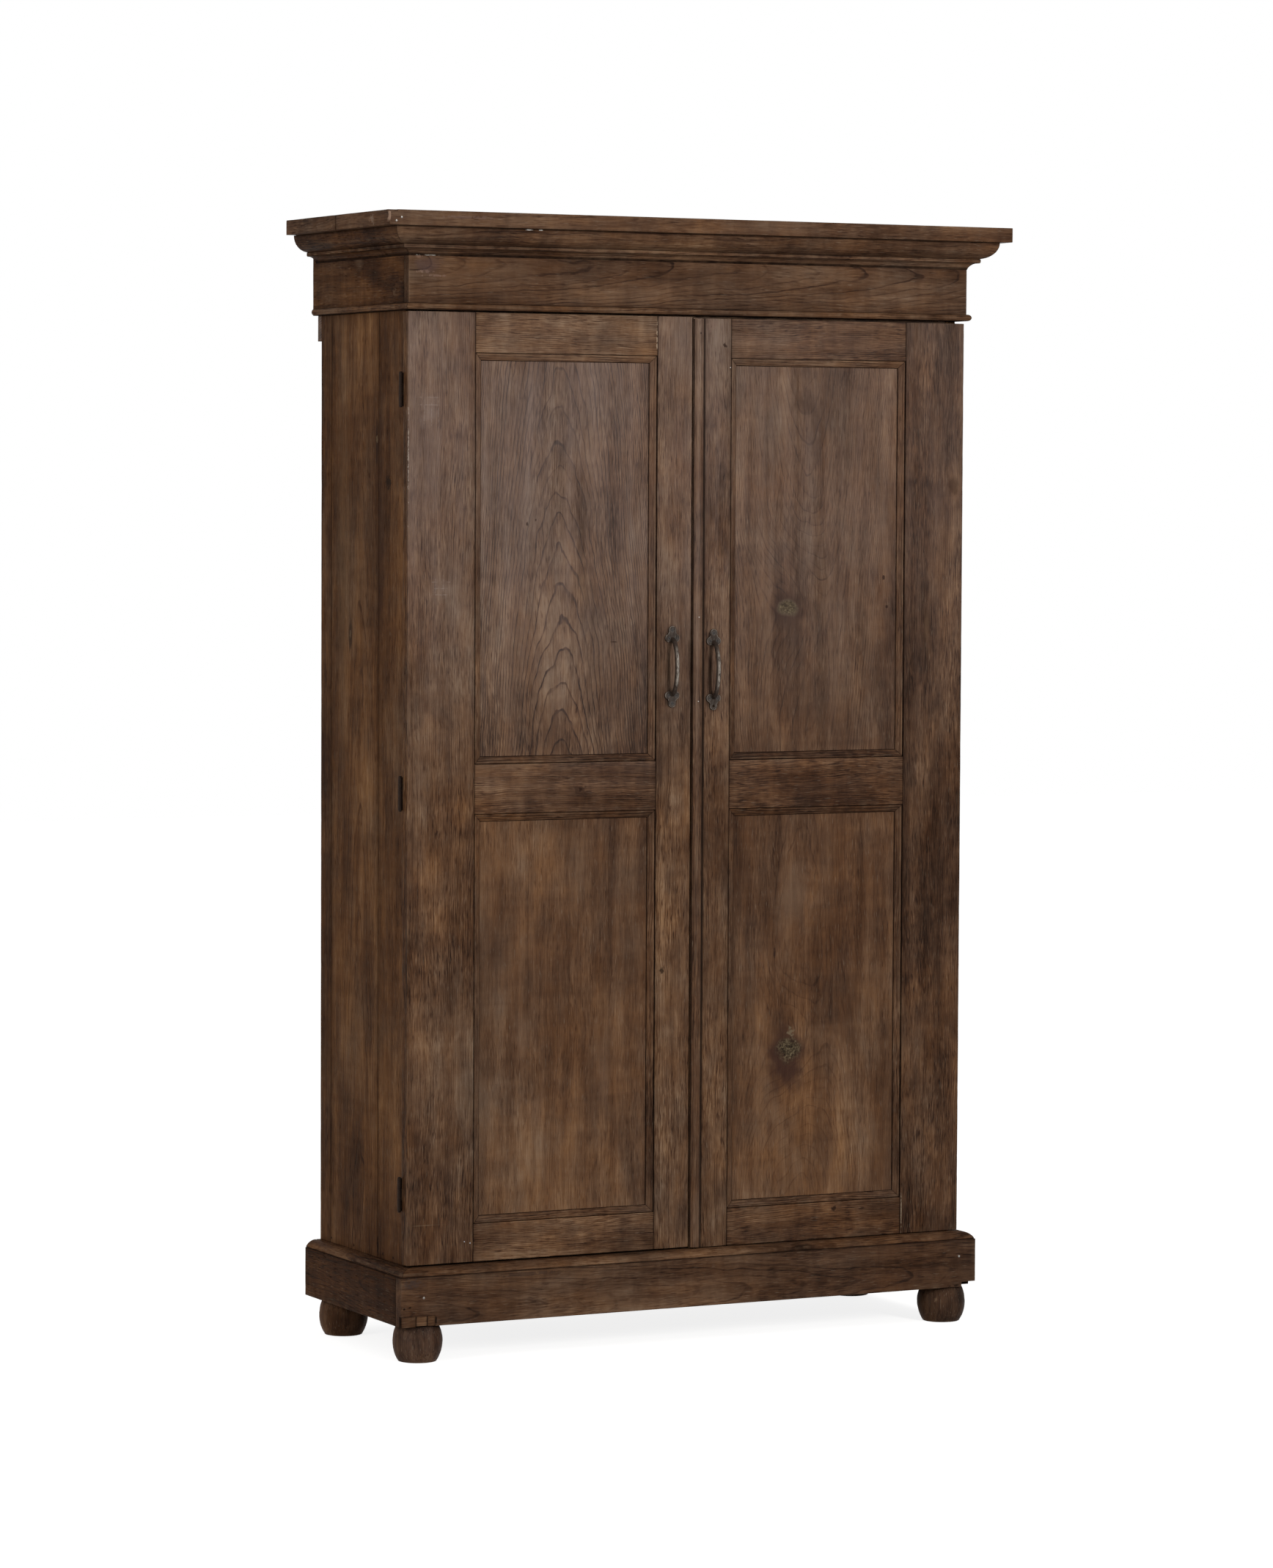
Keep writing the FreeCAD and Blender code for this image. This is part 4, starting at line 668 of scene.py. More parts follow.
def strip(section, length, origin, along, out, rise, starts, ends, seed, heart, tint, worn, dark,
          step=14 * mm, roughness=0.25 * mm):
    """A moulding of a section (out, up) run along its length. Starts and ends are how far each end moves
    along for each step outwards. Worn and dark number the section's rubbed points and its darkened
    points, which hold dirt and painted shade."""
    section = np.array(section, float)
    middle_run = np.linspace(6 * mm, length - 6 * mm, int(length / step))
    shares = np.concatenate([end_spacing, middle_run, length - end_spacing[::-1]]) / length
    points = []
    grain = []
    edge = []
    girth = np.concatenate([[0], np.cumsum(np.linalg.norm(np.diff(section, axis=0), axis=1))])
    middle = section.mean(0)
    wear = np.array([0.6 if spot in worn else 0.0 for spot in range(len(section))])
    grime_and_shade = np.array([1.0 if spot in dark else 0.0 for spot in range(len(section))])
    for share in shares:
        to_end = min(share * length if starts else 1, (1 - share) * length if ends else 1)
        end_dirt = mitre_dirt * math.exp(-to_end / (0.8 * mm))
        for spot, (reach, height) in enumerate(section):
            place_along = (1 - share) * starts * reach + share * (length + ends * reach)
            shake = noise.noise(Vector((place_along * 28, spot * 0.7, seed * 5.3)))
            shake = roughness * (0.5 + 0.5 * shake) * (1 + 2.0 * wear[spot])
            inward = middle - (reach, height)
            inward = inward / max(np.linalg.norm(inward), 1e-9) * (shake if reach > 1e-6 else 0)
            points.append(np.array(origin) + np.array(along) * place_along
                          + np.array(out) * (reach + inward[0]) + np.array(rise) * (height + inward[1]))
            grain.append((girth[spot], 0.0, place_along + seed * grain_shift))
            edge.append((wear[spot], max(grime_and_shade[spot], end_dirt), 0))
    size = len(section)
    stations = len(shares)
    faces = [[station * size + spot, station * size + (spot + 1) % size,
              (station + 1) * size + (spot + 1) % size, (station + 1) * size + spot]
             for station in range(stations - 1) for spot in range(size)]
    faces.append(list(range(size)))
    faces.append([(stations - 1) * size + spot for spot in reversed(range(size))])
    points = np.array(points)
    return {"points": points, "faces": faces, "grain": np.array(grain), "edge": np.array(edge),
            "heart": at_each_point(heart, points), "tint": at_each_point(tint, points)}


def three_runs(section, half, front_y, back_y, z, seed, sides_shade_change=(0, 0, 0), **looks):
    """One moulding along the front and, mitred to it, along the left and the right, the side runs' tint
    shifted by a painted shade change.
    """
    runs = [strip(section, length, (start, front_y, z), along, out, (0, 0, 1), -1, ends, seed + spot,
                  heart=(0.08, 0.05, 0.01), **looks)
            for spot, (start, length, along, out, ends) in enumerate((
                (-half, 2 * half, (1, 0, 0), (0, -1, 0), 1),
                (-half, back_y - front_y, (0, 1, 0), (-1, 0, 0), 0),
                (half, back_y - front_y, (0, 1, 0), (1, 0, 0), 0)))]
    # The side runs' tint is shifted darker: painted shade.
    for side_run in runs[1:]:
        side_run["tint"] = side_run["tint"] + sides_shade_change
    return runs


frieze_front_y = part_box("frieze_front")[0].y
frieze_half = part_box("frieze_front")[1].x
crown_bottom, cap_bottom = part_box("frieze_front")[0].z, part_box("frieze_front")[1].z
cornice_section = [(0, 0), *arc((0, 0), (17.6, 11.8), -16, 7), (17.0, 12.5), (18.2, 13.0), (18.2, 17.9),
                   (17.0, 18.7), (18.6, 19.6), *arc((18.6, 19.6), (43.5, 49), 29, 12), (0, 49)]
# The cornice's side runs are painted darker than its front as shade.
cornice_runs = three_runs(
    in_metres(cornice_section), frieze_half, frieze_front_y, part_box("cornice_left")[1].y,
    cap_bottom - cornice_height, 71, sides_shade_change=(-0.25, 0.35, -0.08), tint=(0.495, 0.50, 0.08),
    worn=(9, 10, 18), dark=(0, 1, 8, 11, 24))
for side, run in zip(("front", "left", "right"), cornice_runs):
    piece(f"cornice_{side}_run", [run], moulding_teak, "carcase", "moulding_teak", "cornice_" + side,
          sharp=35)
bead_section = [(0, 0), (1.5, 0), *arc((1.5, 0), (1.5, 12), 6.023, 10), (0, 12)]
piece("crown_bead_runs", three_runs(
    in_metres(bead_section), frieze_half, frieze_front_y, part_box("crown_bead")[1].y, crown_bottom, 75,
    tint=(0.48, 0.60, 0.05), worn=(5, 6, 7), dark=(0, 1, 2, 10, 11, 12)),
    moulding_teak, "carcase", "moulding_teak", "crown_bead", sharp=40)

# ---------------------------------------------------------------------------------------------------
# Cap: two square-edged boards over the crown. Its front left corner is broken and bright with wear, and
# two nails show there.
cap_teak = teak_finish("cap_teak", ring_gap=5 * mm, lines=0.15, pores=0.55, clouds=0.8, gloss=0.008, marks=[
    ((-619, -236, 1990), (3, 7, 16), (0.33, 0.22, 0.16), 0.85, 1.0),
    ((-619, -160, 1989), (4, 12, 5), (0.27, 0.20, 0.16), 0.5, 1.8),
    ((-619, -168, 1984), (4, 5, 9), (0.27, 0.20, 0.16), 0.4, 1.8),
    ((-470, -237, 1990), (50, 4, 4), (0.17, 0.11, 0.09), 0.4, 1.8)])
front_cap_board = 230 * mm
corner_break = 3 * mm
low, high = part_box("cap_boards")
cap_joint = low.y + front_cap_board
broken_corner = ((-far, -far, -far), (-603 * mm, -228 * mm, far), 2, high.z - corner_break, "below")
cap_solids = [
    board(low, (high.x, cap_joint, high.z), "x", "+z", 81, (0.04, 0.08, 0.02), (0.51, 0.55, 0.09), "+y",
          soft=2.2 * mm, step=9 * mm, let_in=[broken_corner]),
    board((low.x, cap_joint, low.z), high, "x", "+z", 82, (-0.05, 0.12, 0.02), (0.42, 0.52, 0.06), "-y",
          soft=2.2 * mm)]
for solid in cap_solids:
    on_end = np.abs(solid["points"][:, 0]) > high.x - 1.2 * mm
    solid["grain"][on_end] = solid["points"][on_end][:, [2, 0, 1]]
piece("cap_planks", cap_solids, cap_teak, "carcase", "crown_teak", "cap_boards")

# ---------------------------------------------------------------------------------------------------
# Plinth: a frame of four boards under the case, with three repairs let in at its lower left corner and a
# piece broken off its lower right one. A wide moulding lies on it, a flat with a rounded nose.
plinth_teak = teak_finish("plinth_teak", ring_gap=3 * mm, lines=0.32, pores=0.6, clouds=0.8, gloss=0.012,
                          marks=[
    ((-511.5, -203, 75), (2.4, 6, 10), (0.006, 0.004, 0.003), 0.9, 0.6),
    ((-572, -203, 98), (3, 3, 2.6), (0.006, 0.003, 0.002), 0.9, 0.8),
    ((-562, -203, 100), (3, 3, 2.6), (0.006, 0.003, 0.002), 0.8, 0.8),
    ((-560, -203, 140), (22, 5, 12), (0.055, 0.038, 0.034), 0.55, 1.2),
    ((-330, -203, 145), (70, 5, 5), (0.035, 0.022, 0.018), 0.5, 1.2),
    ((536, -203, 68), (16, 30, 3), (0.010, 0.006, 0.004), 0.8, 1.6)])
patch_deep = 9 * mm
patch_top = 84 * mm
patch_end = -513.2 * mm
chip_start = 549 * mm
chip_top = 74 * mm
foot_block = 60 * mm
moulding_width = 73 * mm
low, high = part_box("plinth_front")
piece("plinth_front_plank", [
    board(low, high, "x", "-y", 91, (-0.02, 0.10, 0.028), (0.385, 0.48, 0.06), "+z", step=9 * mm, let_in=[
        ((chip_start, -far, -far), (far, far, chip_top), 2, chip_top, "above"),
        ((-far, -far, -far), (patch_end, low.y + patch_deep, patch_top), 1, low.y + patch_deep, "above")])],
    plinth_teak, "carcase", "plinth_teak", "plinth_front")
patches_let_in = [((-578, -550, 65), (0.46, 0.5, 0.05)), ((-549.6, -528.6, 66.52), (0.72, 0.60, 0.10)),
                  ((-528.2, -513.2, 65.76), (0.57, 0.60, 0.06))]
piece("plinth_patch_pieces", [
    board((start * mm, low.y, foot * mm), (stop * mm, low.y + patch_deep, patch_top), "x", "-y", 93 + spot,
          (0.01, 0.02, 0.02), tone, "-x +x +z", soft=1.2 * mm, step=4 * mm)
    for spot, ((start, stop, foot), tone) in enumerate(patches_let_in)],
    plinth_teak, "carcase", "plinth_teak", "plinth_patches")
# The plinth's side boards are tinted darker than its front: painted shade.
for side, face in (("left", "-x"), ("right", "+x")):
    piece(f"plinth_{side}_plank", [
        board(*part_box("plinth_" + side), "y", face, 96 + len(side), (0.01, 0.07, 0.03), (0.20, 1.0, 0.0),
              "-y +z")], plinth_teak, "carcase", "plinth_teak", "plinth_" + side)
piece("plinth_back_plank", [
    board(*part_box("plinth_back"), "x", "+y", 99, (0.02, 0.07, 0.03), (0.36, 0.5, 0.04), step=18 * mm)],
    plinth_teak, "carcase", "plinth_teak", "plinth_back")
inner_piece("foot_corner_blocks", corner_blocks("foot_blocks", foot_block, 101), "foot_blocks")
low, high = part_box("plinth_moulding")
strip_half = high.x - moulding_width
nose_section = [(0, 0), (73, 0), (73, 2), *arc((73, 2), (54, 13), 21.909, 9)[:-1], (54, 13), (53.2, 12.2),
                (52.2, 13), (0, 13)]
back_strip = board((-strip_half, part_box("plinth_back")[0].y, low.z), (strip_half, high.y, high.z), "x", "+y",
                   108, (0.02, 0.07, 0.03), (0.40, 0.5, 0.04), step=18 * mm)
piece("plinth_moulding_runs", [*three_runs(
    in_metres(nose_section), strip_half, low.y + moulding_width, high.y, low.z, 105,
    tint=(0.405, 0.60, 0.03), worn=(3, 4, 11), dark=(1, 12)), back_strip],
    moulding_teak, "carcase", "moulding_teak", "plinth_moulding", sharp=35)

# ---------------------------------------------------------------------------------------------------
# Feet: four turned teak buns under the plinth's corners, their grain upright, dry and a little split. Each
# is doweled up into its corner block and stands on a flat base.
turned_teak = teak_finish("turned_teak", ring_gap=7 * mm, lines=0.15, pores=0.35, clouds=1.2, gloss=0.02,
                          marks=[((499.5, -196, 42), (4, 6, 8), (0.16, 0.10, 0.06), 0.7, 1.0)])
foot_outline = in_metres([(34, 0), *arc((34, 0), (37, 65), 63.18, 26)])
foot_top = foot_outline[-1][1]
foot_sides = 72
feet = [((-529, -163.6), (0.43, 0.25, 0.16)), ((529, -163.6), (0.26, 0.25, 0.05)),
        ((-529, 158.4), (0.42, 0.50, 0.08)), ((529, 178.4), (0.38, 0.50, 0.04))]


def bun_foot(x, y, tint, seed):
    """One turned foot, a little out of round, with its grain upright and its heart near the middle."""
    points = []
    grain = []
    edge = []
    tints = []
    for radius, height in foot_outline:
        for spot in range(foot_sides):
            angle = 2 * math.pi * spot / foot_sides
            way = Vector((math.cos(angle), math.sin(angle), 0))
            swing = noise.noise(Vector((way.x * 1.2, way.y * 1.2, height * 30 + seed)))
            dent = max(0.0, noise.noise(Vector((way.x * 5, way.y * 5, height * 140 + seed))))
            reach = radius * (1 - 0.012 - 0.012 * swing) - 0.8 * mm * dent
            points.append((x + way.x * reach, y + way.y * reach, height))
            grain.append((way.x * radius, way.y * radius, height + seed * grain_shift))
            edge.append((math.exp(-height / (2.5 * mm)), math.exp(-(foot_top - height) / (4 * mm)), 0))
            blotch = noise.noise(Vector((way.x * 1.8, way.y * 1.8, height * 40 + 3 * seed)))
            # Lighter towards the front right and darker towards the back left: painted light and shade.
            tints.append((tint[0] + 0.20 * blotch + 0.03 * (way.x - way.y), tint[1], tint[2]))
    top_row = len(foot_outline) - 1
    faces = [[row * foot_sides + spot, row * foot_sides + (spot + 1) % foot_sides,
              (row + 1) * foot_sides + (spot + 1) % foot_sides, (row + 1) * foot_sides + spot]
             for row in range(top_row) for spot in range(foot_sides)]
    faces.append(list(range(foot_sides)))
    faces.append([top_row * foot_sides + spot for spot in range(foot_sides)])
    return {"points": np.array(points), "faces": faces, "grain": np.array(grain), "edge": np.array(edge),
            "heart": at_each_point((0.02, 0.03, 0.01), points), "tint": np.array(tints)}


piece("bun_feet", [bun_foot(x * mm, y * mm, tint, 111 + spot) for spot, ((x, y), tint) in enumerate(feet)],
      turned_teak, "carcase", "turned_teak", "feet")

# ---------------------------------------------------------------------------------------------------
# Doors: frames of two upright stiles and three rails, tenoned together, round two flat panels each. Their
# fronts are grey with old wax, with a painted sheen and painted light that grow towards the top left.
frame_front, panel_front = -175, -167
scratch = (0.27, 0.21, 0.18)
pale_scratch = (0.28, 0.22, 0.19)


def on_front(y, rows):
    """Marks on a front that lies at this depth. Each gives its middle and half sizes across and up."""
    return [((x, y, z), (half_across, 4, half_up), *looks) for (x, z), (half_across, half_up), *looks in rows]


door_teak = teak_finish("door_teak", ring_gap=3 * mm, lines=0.40, pores=0.9, clouds=0.9, gloss=0.015, marks=[
    *on_front(frame_front, [
        # A dark line down the right door beside the meeting bead: dirt and painted shade.
        ((21.5, 997), (5.0, 1700), (0.012, 0.007, 0.005), 0.90, 0.0),
        ((-3, 1215), (7, 85), (0.014, 0.008, 0.006), 0.60, 0.3),
        # Painted shadows of the two grips, cast to their left.
        ((-46, 1207), (3.2, 42), (0.020, 0.011, 0.007), 0.60, 0.1),
        ((37.5, 1203), (3.8, 42), (0.020, 0.011, 0.007), 0.65, 0.1)]),
    # A pale line down the left door's outer arris: wear with a painted highlight.
    ((-555, frame_front, 1575), (2, 3, 80), (0.45, 0.38, 0.32), 0.55, 1.8),
    *on_front(frame_front, [
        # Dark round the four handle plates: painted contact shade, with dirt.
        *[((across, height), (18, 22), (0.014, 0.009, 0.007), 0.60, 0.1)
          for across, height in ((-40.5, 1265), (-40.5, 1153), (42.5, 1259), (42.5, 1147))],
        ((535, 1536), (14, 26), (0.030, 0.017, 0.012), 0.50, 0.8),
        ((482, 1277), (13, 50), (0.030, 0.016, 0.011), 0.45, 0.3),
        ((482, 1277), (7, 34), (0.115, 0.068, 0.042), 0.55, 0.3),
        ((296, 220), (7, 6), (0.015, 0.008, 0.006), 0.85, 0.8),
        ((437, 209), (1.7, 40), (0.34, 0.27, 0.19), 0.55, 1.2),
        ((-57, 668), (6, 7), (0.016, 0.009, 0.006), 0.80, 0.8),
        ((-221, 994), (6, 5), (0.012, 0.006, 0.004), 0.9, 1.0),
        ((-221, 996), (13, 10), (0.035, 0.018, 0.012), 0.6, 1.2),
        ((-235, 1051), (1.6, 1.4), (0.62, 0.60, 0.56), 0.95, 0.3),
        ((63, 1780), (5, 7), (0.020, 0.010, 0.007), 0.8, 1.0),
        ((38, 1817), (10, 12), (0.20, 0.13, 0.10), 0.5, 1.6),
        ((74, 1741), (1.4, 1.4), (0.60, 0.58, 0.55), 0.9, 0.3),
        ((-522, 238), (30, 1.3), (0.20, 0.14, 0.09), 0.45, 1.0),
        ((-494, 1349), (22, 26), (0.20, 0.15, 0.125), 0.35, 0.8),
        ((-514, 1658), (26, 34), (0.27, 0.21, 0.185), 0.30, 0.8),
        *[((-494, height), (17, 1.2), scratch, 0.50, 1.6) for height in (1339, 1350, 1361)],
        *[((across, 1351), (1.2, 22), scratch, 0.45, 1.6) for across in (-503, -488)],
        *[((-514, height), (25, 1.2), pale_scratch, 0.42, 1.6) for height in (1681, 1668)],
        *[((across, 1650), (1.2, 26), pale_scratch, 0.42, 1.6) for across in (-525, -511, -498)],
        ((-444, 205), (1.5, 1.5), (0.5, 0.5, 0.52), 0.9, 0.3),
        ((-433, 202), (1.5, 1.5), (0.5, 0.5, 0.52), 0.9, 0.3),
        ((-73, 1788), (1.8, 34), (0.42, 0.31, 0.22), 0.75, 1.4)])])
panels = {
    "left_door_upper": ((-0.008, 0.20, 0.048), (0.523, 0.44, 0.50), dict(lines=0.95, pores=0.85), [
        ((-151, 1254), (9, 1.6), (0.03, 0.015, 0.010), 0.8, 0.8),
        ((-323, 1463), (2.6, 5), (0.02, 0.010, 0.008), 0.8, 0.8),
        ((-306, 1469), (2.2, 4), (0.02, 0.010, 0.008), 0.7, 0.8),
        ((-215, 1350), (34, 40), (0.20, 0.125, 0.080), 0.28, 0.6)]),
    "left_door_lower": ((0.26, 0.08, 0.02), (0.55, 0.60, 0.16), dict(
        lines=0.25, pores=0.45, knot=(-0.38, -0.167, 0.36), knot_reach=0.10), [
        ((-330, 560), (22, 60), (0.20, 0.125, 0.08), 0.30, 0.6),
        ((-300, 430), (26, 50), (0.20, 0.125, 0.08), 0.30, 0.6),
        ((-170, 480), (20, 70), (0.17, 0.105, 0.07), 0.30, 0.6)]),
    "right_door_upper": ((-0.02, 0.18, -0.050), (0.52, 0.50, 0.40), dict(
        lines=0.38, pores=0.55, knot=(0.199, -0.167, 1.312), knot_reach=0.075), [
        ((229, 1679), (40, 30), (0.035, 0.020, 0.014), 0.35, 0.8),
        ((199, 1310), (50, 44), (0.048, 0.028, 0.022), 0.60, 0.6),
        ((199, 1312), (27, 18), (0.15, 0.115, 0.080), 0.70, 0.5),
        ((199, 1312), (24, 16), "crumbly", 0.75, 0.6),
        ((395, 1366), (4, 5), (0.02, 0.010, 0.008), 0.8, 1.0),
        ((402, 1313), (4, 4), (0.02, 0.010, 0.008), 0.8, 1.0)]),
    "right_door_lower": ((-0.03, 0.18, 0.045), (0.508, 0.66, 0.12), dict(
        lines=0.18, pores=0.45, knot=(0.205, -0.167, 0.515), knot_reach=0.085), [
        ((203, 498), (50, 78), (0.036, 0.016, 0.012), 0.85, 0.40),
        ((204, 514), (29, 29), "crumbly", 0.95, 0.5),
        ((209, 546), (9, 9), (0.16, 0.12, 0.075), 0.75, 1.2),
        ((175, 690), (3, 12), (0.018, 0.009, 0.007), 0.8, 0.8),
        ((215, 790), (60, 95), (0.18, 0.115, 0.075), 0.34, 0.6),
        ((150, 440), (26, 60), (0.17, 0.105, 0.065), 0.25, 0.6)])}
rail_tints = {
    "left": {"bottom": (0.495, 0.56, 0.26), "middle": (0.505, 0.56, 0.70), "top": (0.605, 0.56, 0.12)},
    "right": {"bottom": (0.375, 0.76, 0.26), "middle": (0.475, 0.76, 0.50), "top": (0.525, 0.76, 0.26)}}
strip_section = in_metres([
    (0, 0), (14.1, 0), (14.1, 0.25), (13.0, 0.35), (12.8, 1.9), *arc((12.8, 1.9), (5.6, 5.0), 16, 6),
    (5.4, 5.7), (4.6, 6.5), (3, 7.0), (1.7, 6.8), (1.1, 6.0), (0.9, 5.0), (0.2, 5.0)])
painted_light_from, painted_light_over = 0.9, 0.7
case_half = 0.55


def front_tint_with_painted_light(light, warm, bloom_and_sheen):
    """A board's tint on the doors: greyer and lighter towards the top and the left, which is painted sheen
    and painted light over a wax bloom, and dark behind the front.
    """
    def tint(points, depth):
        behind = behind_face(depth)
        # Towards the top and the left the grey and the lightness rise: painted sheen and painted light over
        # the wax bloom.
        height = np.clip((points[:, 2] - painted_light_from) / painted_light_over, 0, 1)
        height = height * height * (3 - 2 * height)
        left = np.clip((case_half - points[:, 0]) / (2 * case_half), 0, 1)
        wax_and_sheen_amount = (0.045 + bloom_and_sheen * (0.06 + 0.94 * height) * (0.55 + 0.60 * left)) * (1 - behind)
        tone_with_painted_light = light + (0.08 + 0.10 * (left - 0.3)) * height + 0.03 * (left - 0.5) - 0.20 * behind
        return np.stack([tone_with_painted_light, warm - 0.1 * height + 0.3 * behind, wax_and_sheen_amount], 1)
    return tint


for side, hand in (("left", -1), ("right", 1)):
    door = side + "_door"
    outer_low, outer_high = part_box(door + "_hinge_stile")
    inner_low, inner_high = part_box(door + "_meeting_stile")
    outer_joint, inner_joint = ("+x", "-x") if side == "left" else ("-x", "+x")
    piece(door + "_outer_upright", [
        board(outer_low, outer_high, "z", "-y", 121 + hand, (0.10, 0.06, 0.012),
              front_tint_with_painted_light(0.46 - 0.045 * hand, 0.52, 0.40), outer_joint, step=9 * mm,
              let_in=leaf_recesses(hand, outer_high.y - leaf_thick, "below"))],
        door_teak, door, "door_teak", door + "_hinge_stile")
    piece(door + "_meeting_upright", [
        board(inner_low, inner_high, "z", "-y", 124 + hand, (-0.06, 0.03, 0.006),
              front_tint_with_painted_light(0.608 - 0.03 * hand, 0.50, 0.48), inner_joint, step=9 * mm)],
        door_teak, door, "door_teak", door + "_meeting_stile")
    open_from, open_to = (outer_high.x, inner_low.x) if side == "left" else (inner_high.x, outer_low.x)
    rail_edges = {}
    for seed, (name, rail_tint) in enumerate(rail_tints[side].items()):
        low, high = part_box(f"{door}_{name}_rail")
        rail_edges[name] = (low.z, high.z)
        piece(f"{door}_{name}_crosspiece", [
            board((open_from, low.y, low.z), (open_to, high.y, high.z), "x", "-y", 127 + seed + 4 * hand,
                  (0.09 * hand, 0.05, 0.01), front_tint_with_painted_light(*rail_tint), "-x +x", step=9 * mm)],
            door_teak, door, "door_teak", f"{door}_{name}_rail")
    strips = []
    for panel, below, above in (("lower", "bottom", "middle"), ("upper", "middle", "top")):
        name = f"{door}_{panel}"
        low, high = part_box(name + "_panel")
        heart, tint, wood, marks = panels[name]
        panel_teak = teak_finish(name + "_teak", ring_gap=2.6 * mm, gloss=0.04,
                                 marks=on_front(panel_front, marks), **wood)
        piece(name + "_board", [
            board(low, high, "z", "-y", 141 + len(strips) + hand, heart, front_tint_with_painted_light(*tint), soft=1 * mm,
                  step=8 * mm)], panel_teak, door, "panel_teak", name + "_panel")
        bottom, top = rail_edges[below][1], rail_edges[above][0]
        width, height = open_to - open_from, top - bottom
        # The four strips differ in tone by the side they lie on: painted light and shade, lightest and warmest
        # on the top one.
        for spot, (start_x, start_z, along, out, length, tone) in enumerate((
                (open_from, bottom, (1, 0, 0), (0, 0, 1), width, (0.43, 0.46, 0.18)),
                (open_to, bottom, (0, 0, 1), (-1, 0, 0), height, (0.46, 0.50, 0.24)),
                (open_to, top, (-1, 0, 0), (0, 0, -1), width, (0.50, 0.64, 0.14)),
                (open_from, top, (0, 0, -1), (1, 0, 0), height, (0.43, 0.46, 0.20)))):
            strips.append(strip(strip_section, length, (start_x, low.y, start_z), along, out, (0, -1, 0), 1,
                                -1, 151 + spot + len(strips), (0.06, 0.03, 0.008), front_tint_with_painted_light(*tone),
                                worn=(12, 13), dark=(1, 2, 3, 16, 17, 0), roughness=0.08 * mm))
    piece(door + "_panel_strips", strips, moulding_teak, door, "moulding_teak", door + "_panel_mouldings",
          sharp=30)

# ---------------------------------------------------------------------------------------------------
# Meeting bead: a half-round teak strip nailed down the right door's meeting edge, over the gap between
# the doors, and worn smooth by hands.
bead_teak = teak_finish("bead_teak", ring_gap=4 * mm, lines=0.4, pores=0.7, clouds=0.8, gloss=0.05, marks=[
    ((10.5, -182, 1801), (1.8, 5, 2.2), (0.015, 0.008, 0.006), 0.9, 0.4),
    ((9.8, -182, 1297), (1.3, 5, 1.2), (0.62, 0.60, 0.56), 0.95, 0.3),
    ((9.1, -182, 1147), (1.3, 5, 1.2), (0.62, 0.60, 0.56), 0.95, 0.3)])
crest_x = 7 * mm
crest_width = 4.2 * mm
highlight_from, highlight_over = 0.8, 0.6
low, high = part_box("right_door_meeting_bead")
meeting_section = in_metres([(0, 0), (0, 3), *arc((0, 3), (19.5, 3), -12.006, 14), (19.5, 0)])


def crest_highlight_tint(points, depth):
    """The bead's tint: a painted highlight, paler and greyer along its crest, most of all in its upper part.
    """
    tint = front_tint_with_painted_light(0.47, 0.50, 0.24)(points, depth)
    crest = np.exp(-((points[:, 0] - crest_x) / crest_width) ** 2)
    upper = np.clip((points[:, 2] - highlight_from) / highlight_over, 0, 1)
    tint[:, 0] += (0.06 + 0.12 * upper) * crest
    tint[:, 2] += (0.04 + 0.20 * upper) * crest
    return tint


# The bead's crest is painted paler as a highlight, and its flanks darker as painted shade with dirt.
piece("meeting_bead_strip", [
    strip(meeting_section, high.z - low.z, (low.x, high.y, low.z), (0, 0, 1), (1, 0, 0), (0, -1, 0), 0, 0,
          171, (0.05, 0.03, 0.006), crest_highlight_tint, worn=(5, 6, 7), dark=(0, 1, 14, 15, 16), step=10 * mm)],
    bead_teak, "right_door", "door_teak", "right_door_meeting_bead", sharp=40)

# ---------------------------------------------------------------------------------------------------
# Handles: iron castings, a bowed grip between two three-lobed plates, rough from the mould, and bright
# down the middle of the grip and on the plates' rims with wear and painted highlights.
door_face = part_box("left_door_hinge_stile")[0].y
rust_brown = (0.085, 0.050, 0.030)
grip_stand_off = 22 * mm
grip_half = 42 * mm


def iron_finish(name, dark, roughness=0.5, metal=0.6, gloss=0.3, bare_and_highlight=None):
    """Old iron: a dark skin with cast grain, and bare metal where the attribute says it is rubbed; on the
    handles that is wear and a painted highlight.
    """
    material = bpy.data.materials.new(name)
    tree = emptied(material)
    place = shader(tree, "TexCoord").outputs["Object"]
    coarse = cloud(place, (130, 130, 130), (2, 4, 6), 4.0, 0.6)
    fine = cloud(place, (900, 900, 900), (5, 3, 1), 3.0, 0.6)
    colour = mixed(between(coarse, 0.35, 0.70), dark, [channel * 1.7 for channel in dark])
    colour = mixed(times(between(fine, 0.56, 0.74), 0.35), colour, rust_brown)
    skin = total(roughness, about(coarse, 0.16), about(fine, 0.10))
    if bare_and_highlight:
        rubbed_and_highlit = times(shader(tree, "Attribute", attribute_name="rubbed_and_highlit").outputs["Fac"],
                       between(cloud(place, (260, 260, 90), (1, 1, 1), 3.0), 0.30, 0.62))
        colour = mixed(rubbed_and_highlit, colour, bare_and_highlight)
        skin = reckon("SUBTRACT", skin, times(rubbed_and_highlit, 0.16))
    bump = shader(tree, "Bump", {"Strength": 0.5, "Distance": 0.4 * mm,
                                 "Height": total(coarse, times(fine, 0.35))})
    surface = shader(tree, "BsdfPrincipled", {"Base Color": colour, "Metallic": metal, "Roughness": skin,
                                              "Normal": bump.outputs[0], "Specular IOR Level": gloss})
    shader(tree, "OutputMaterial", {"Surface": surface.outputs[0]})
    return material


def read_vectors(items, what):
    """One vector for each of a mesh's points."""
    values = np.zeros(len(items) * 3, np.float32)
    items.foreach_get(what, values)
    return values.reshape(-1, 3)


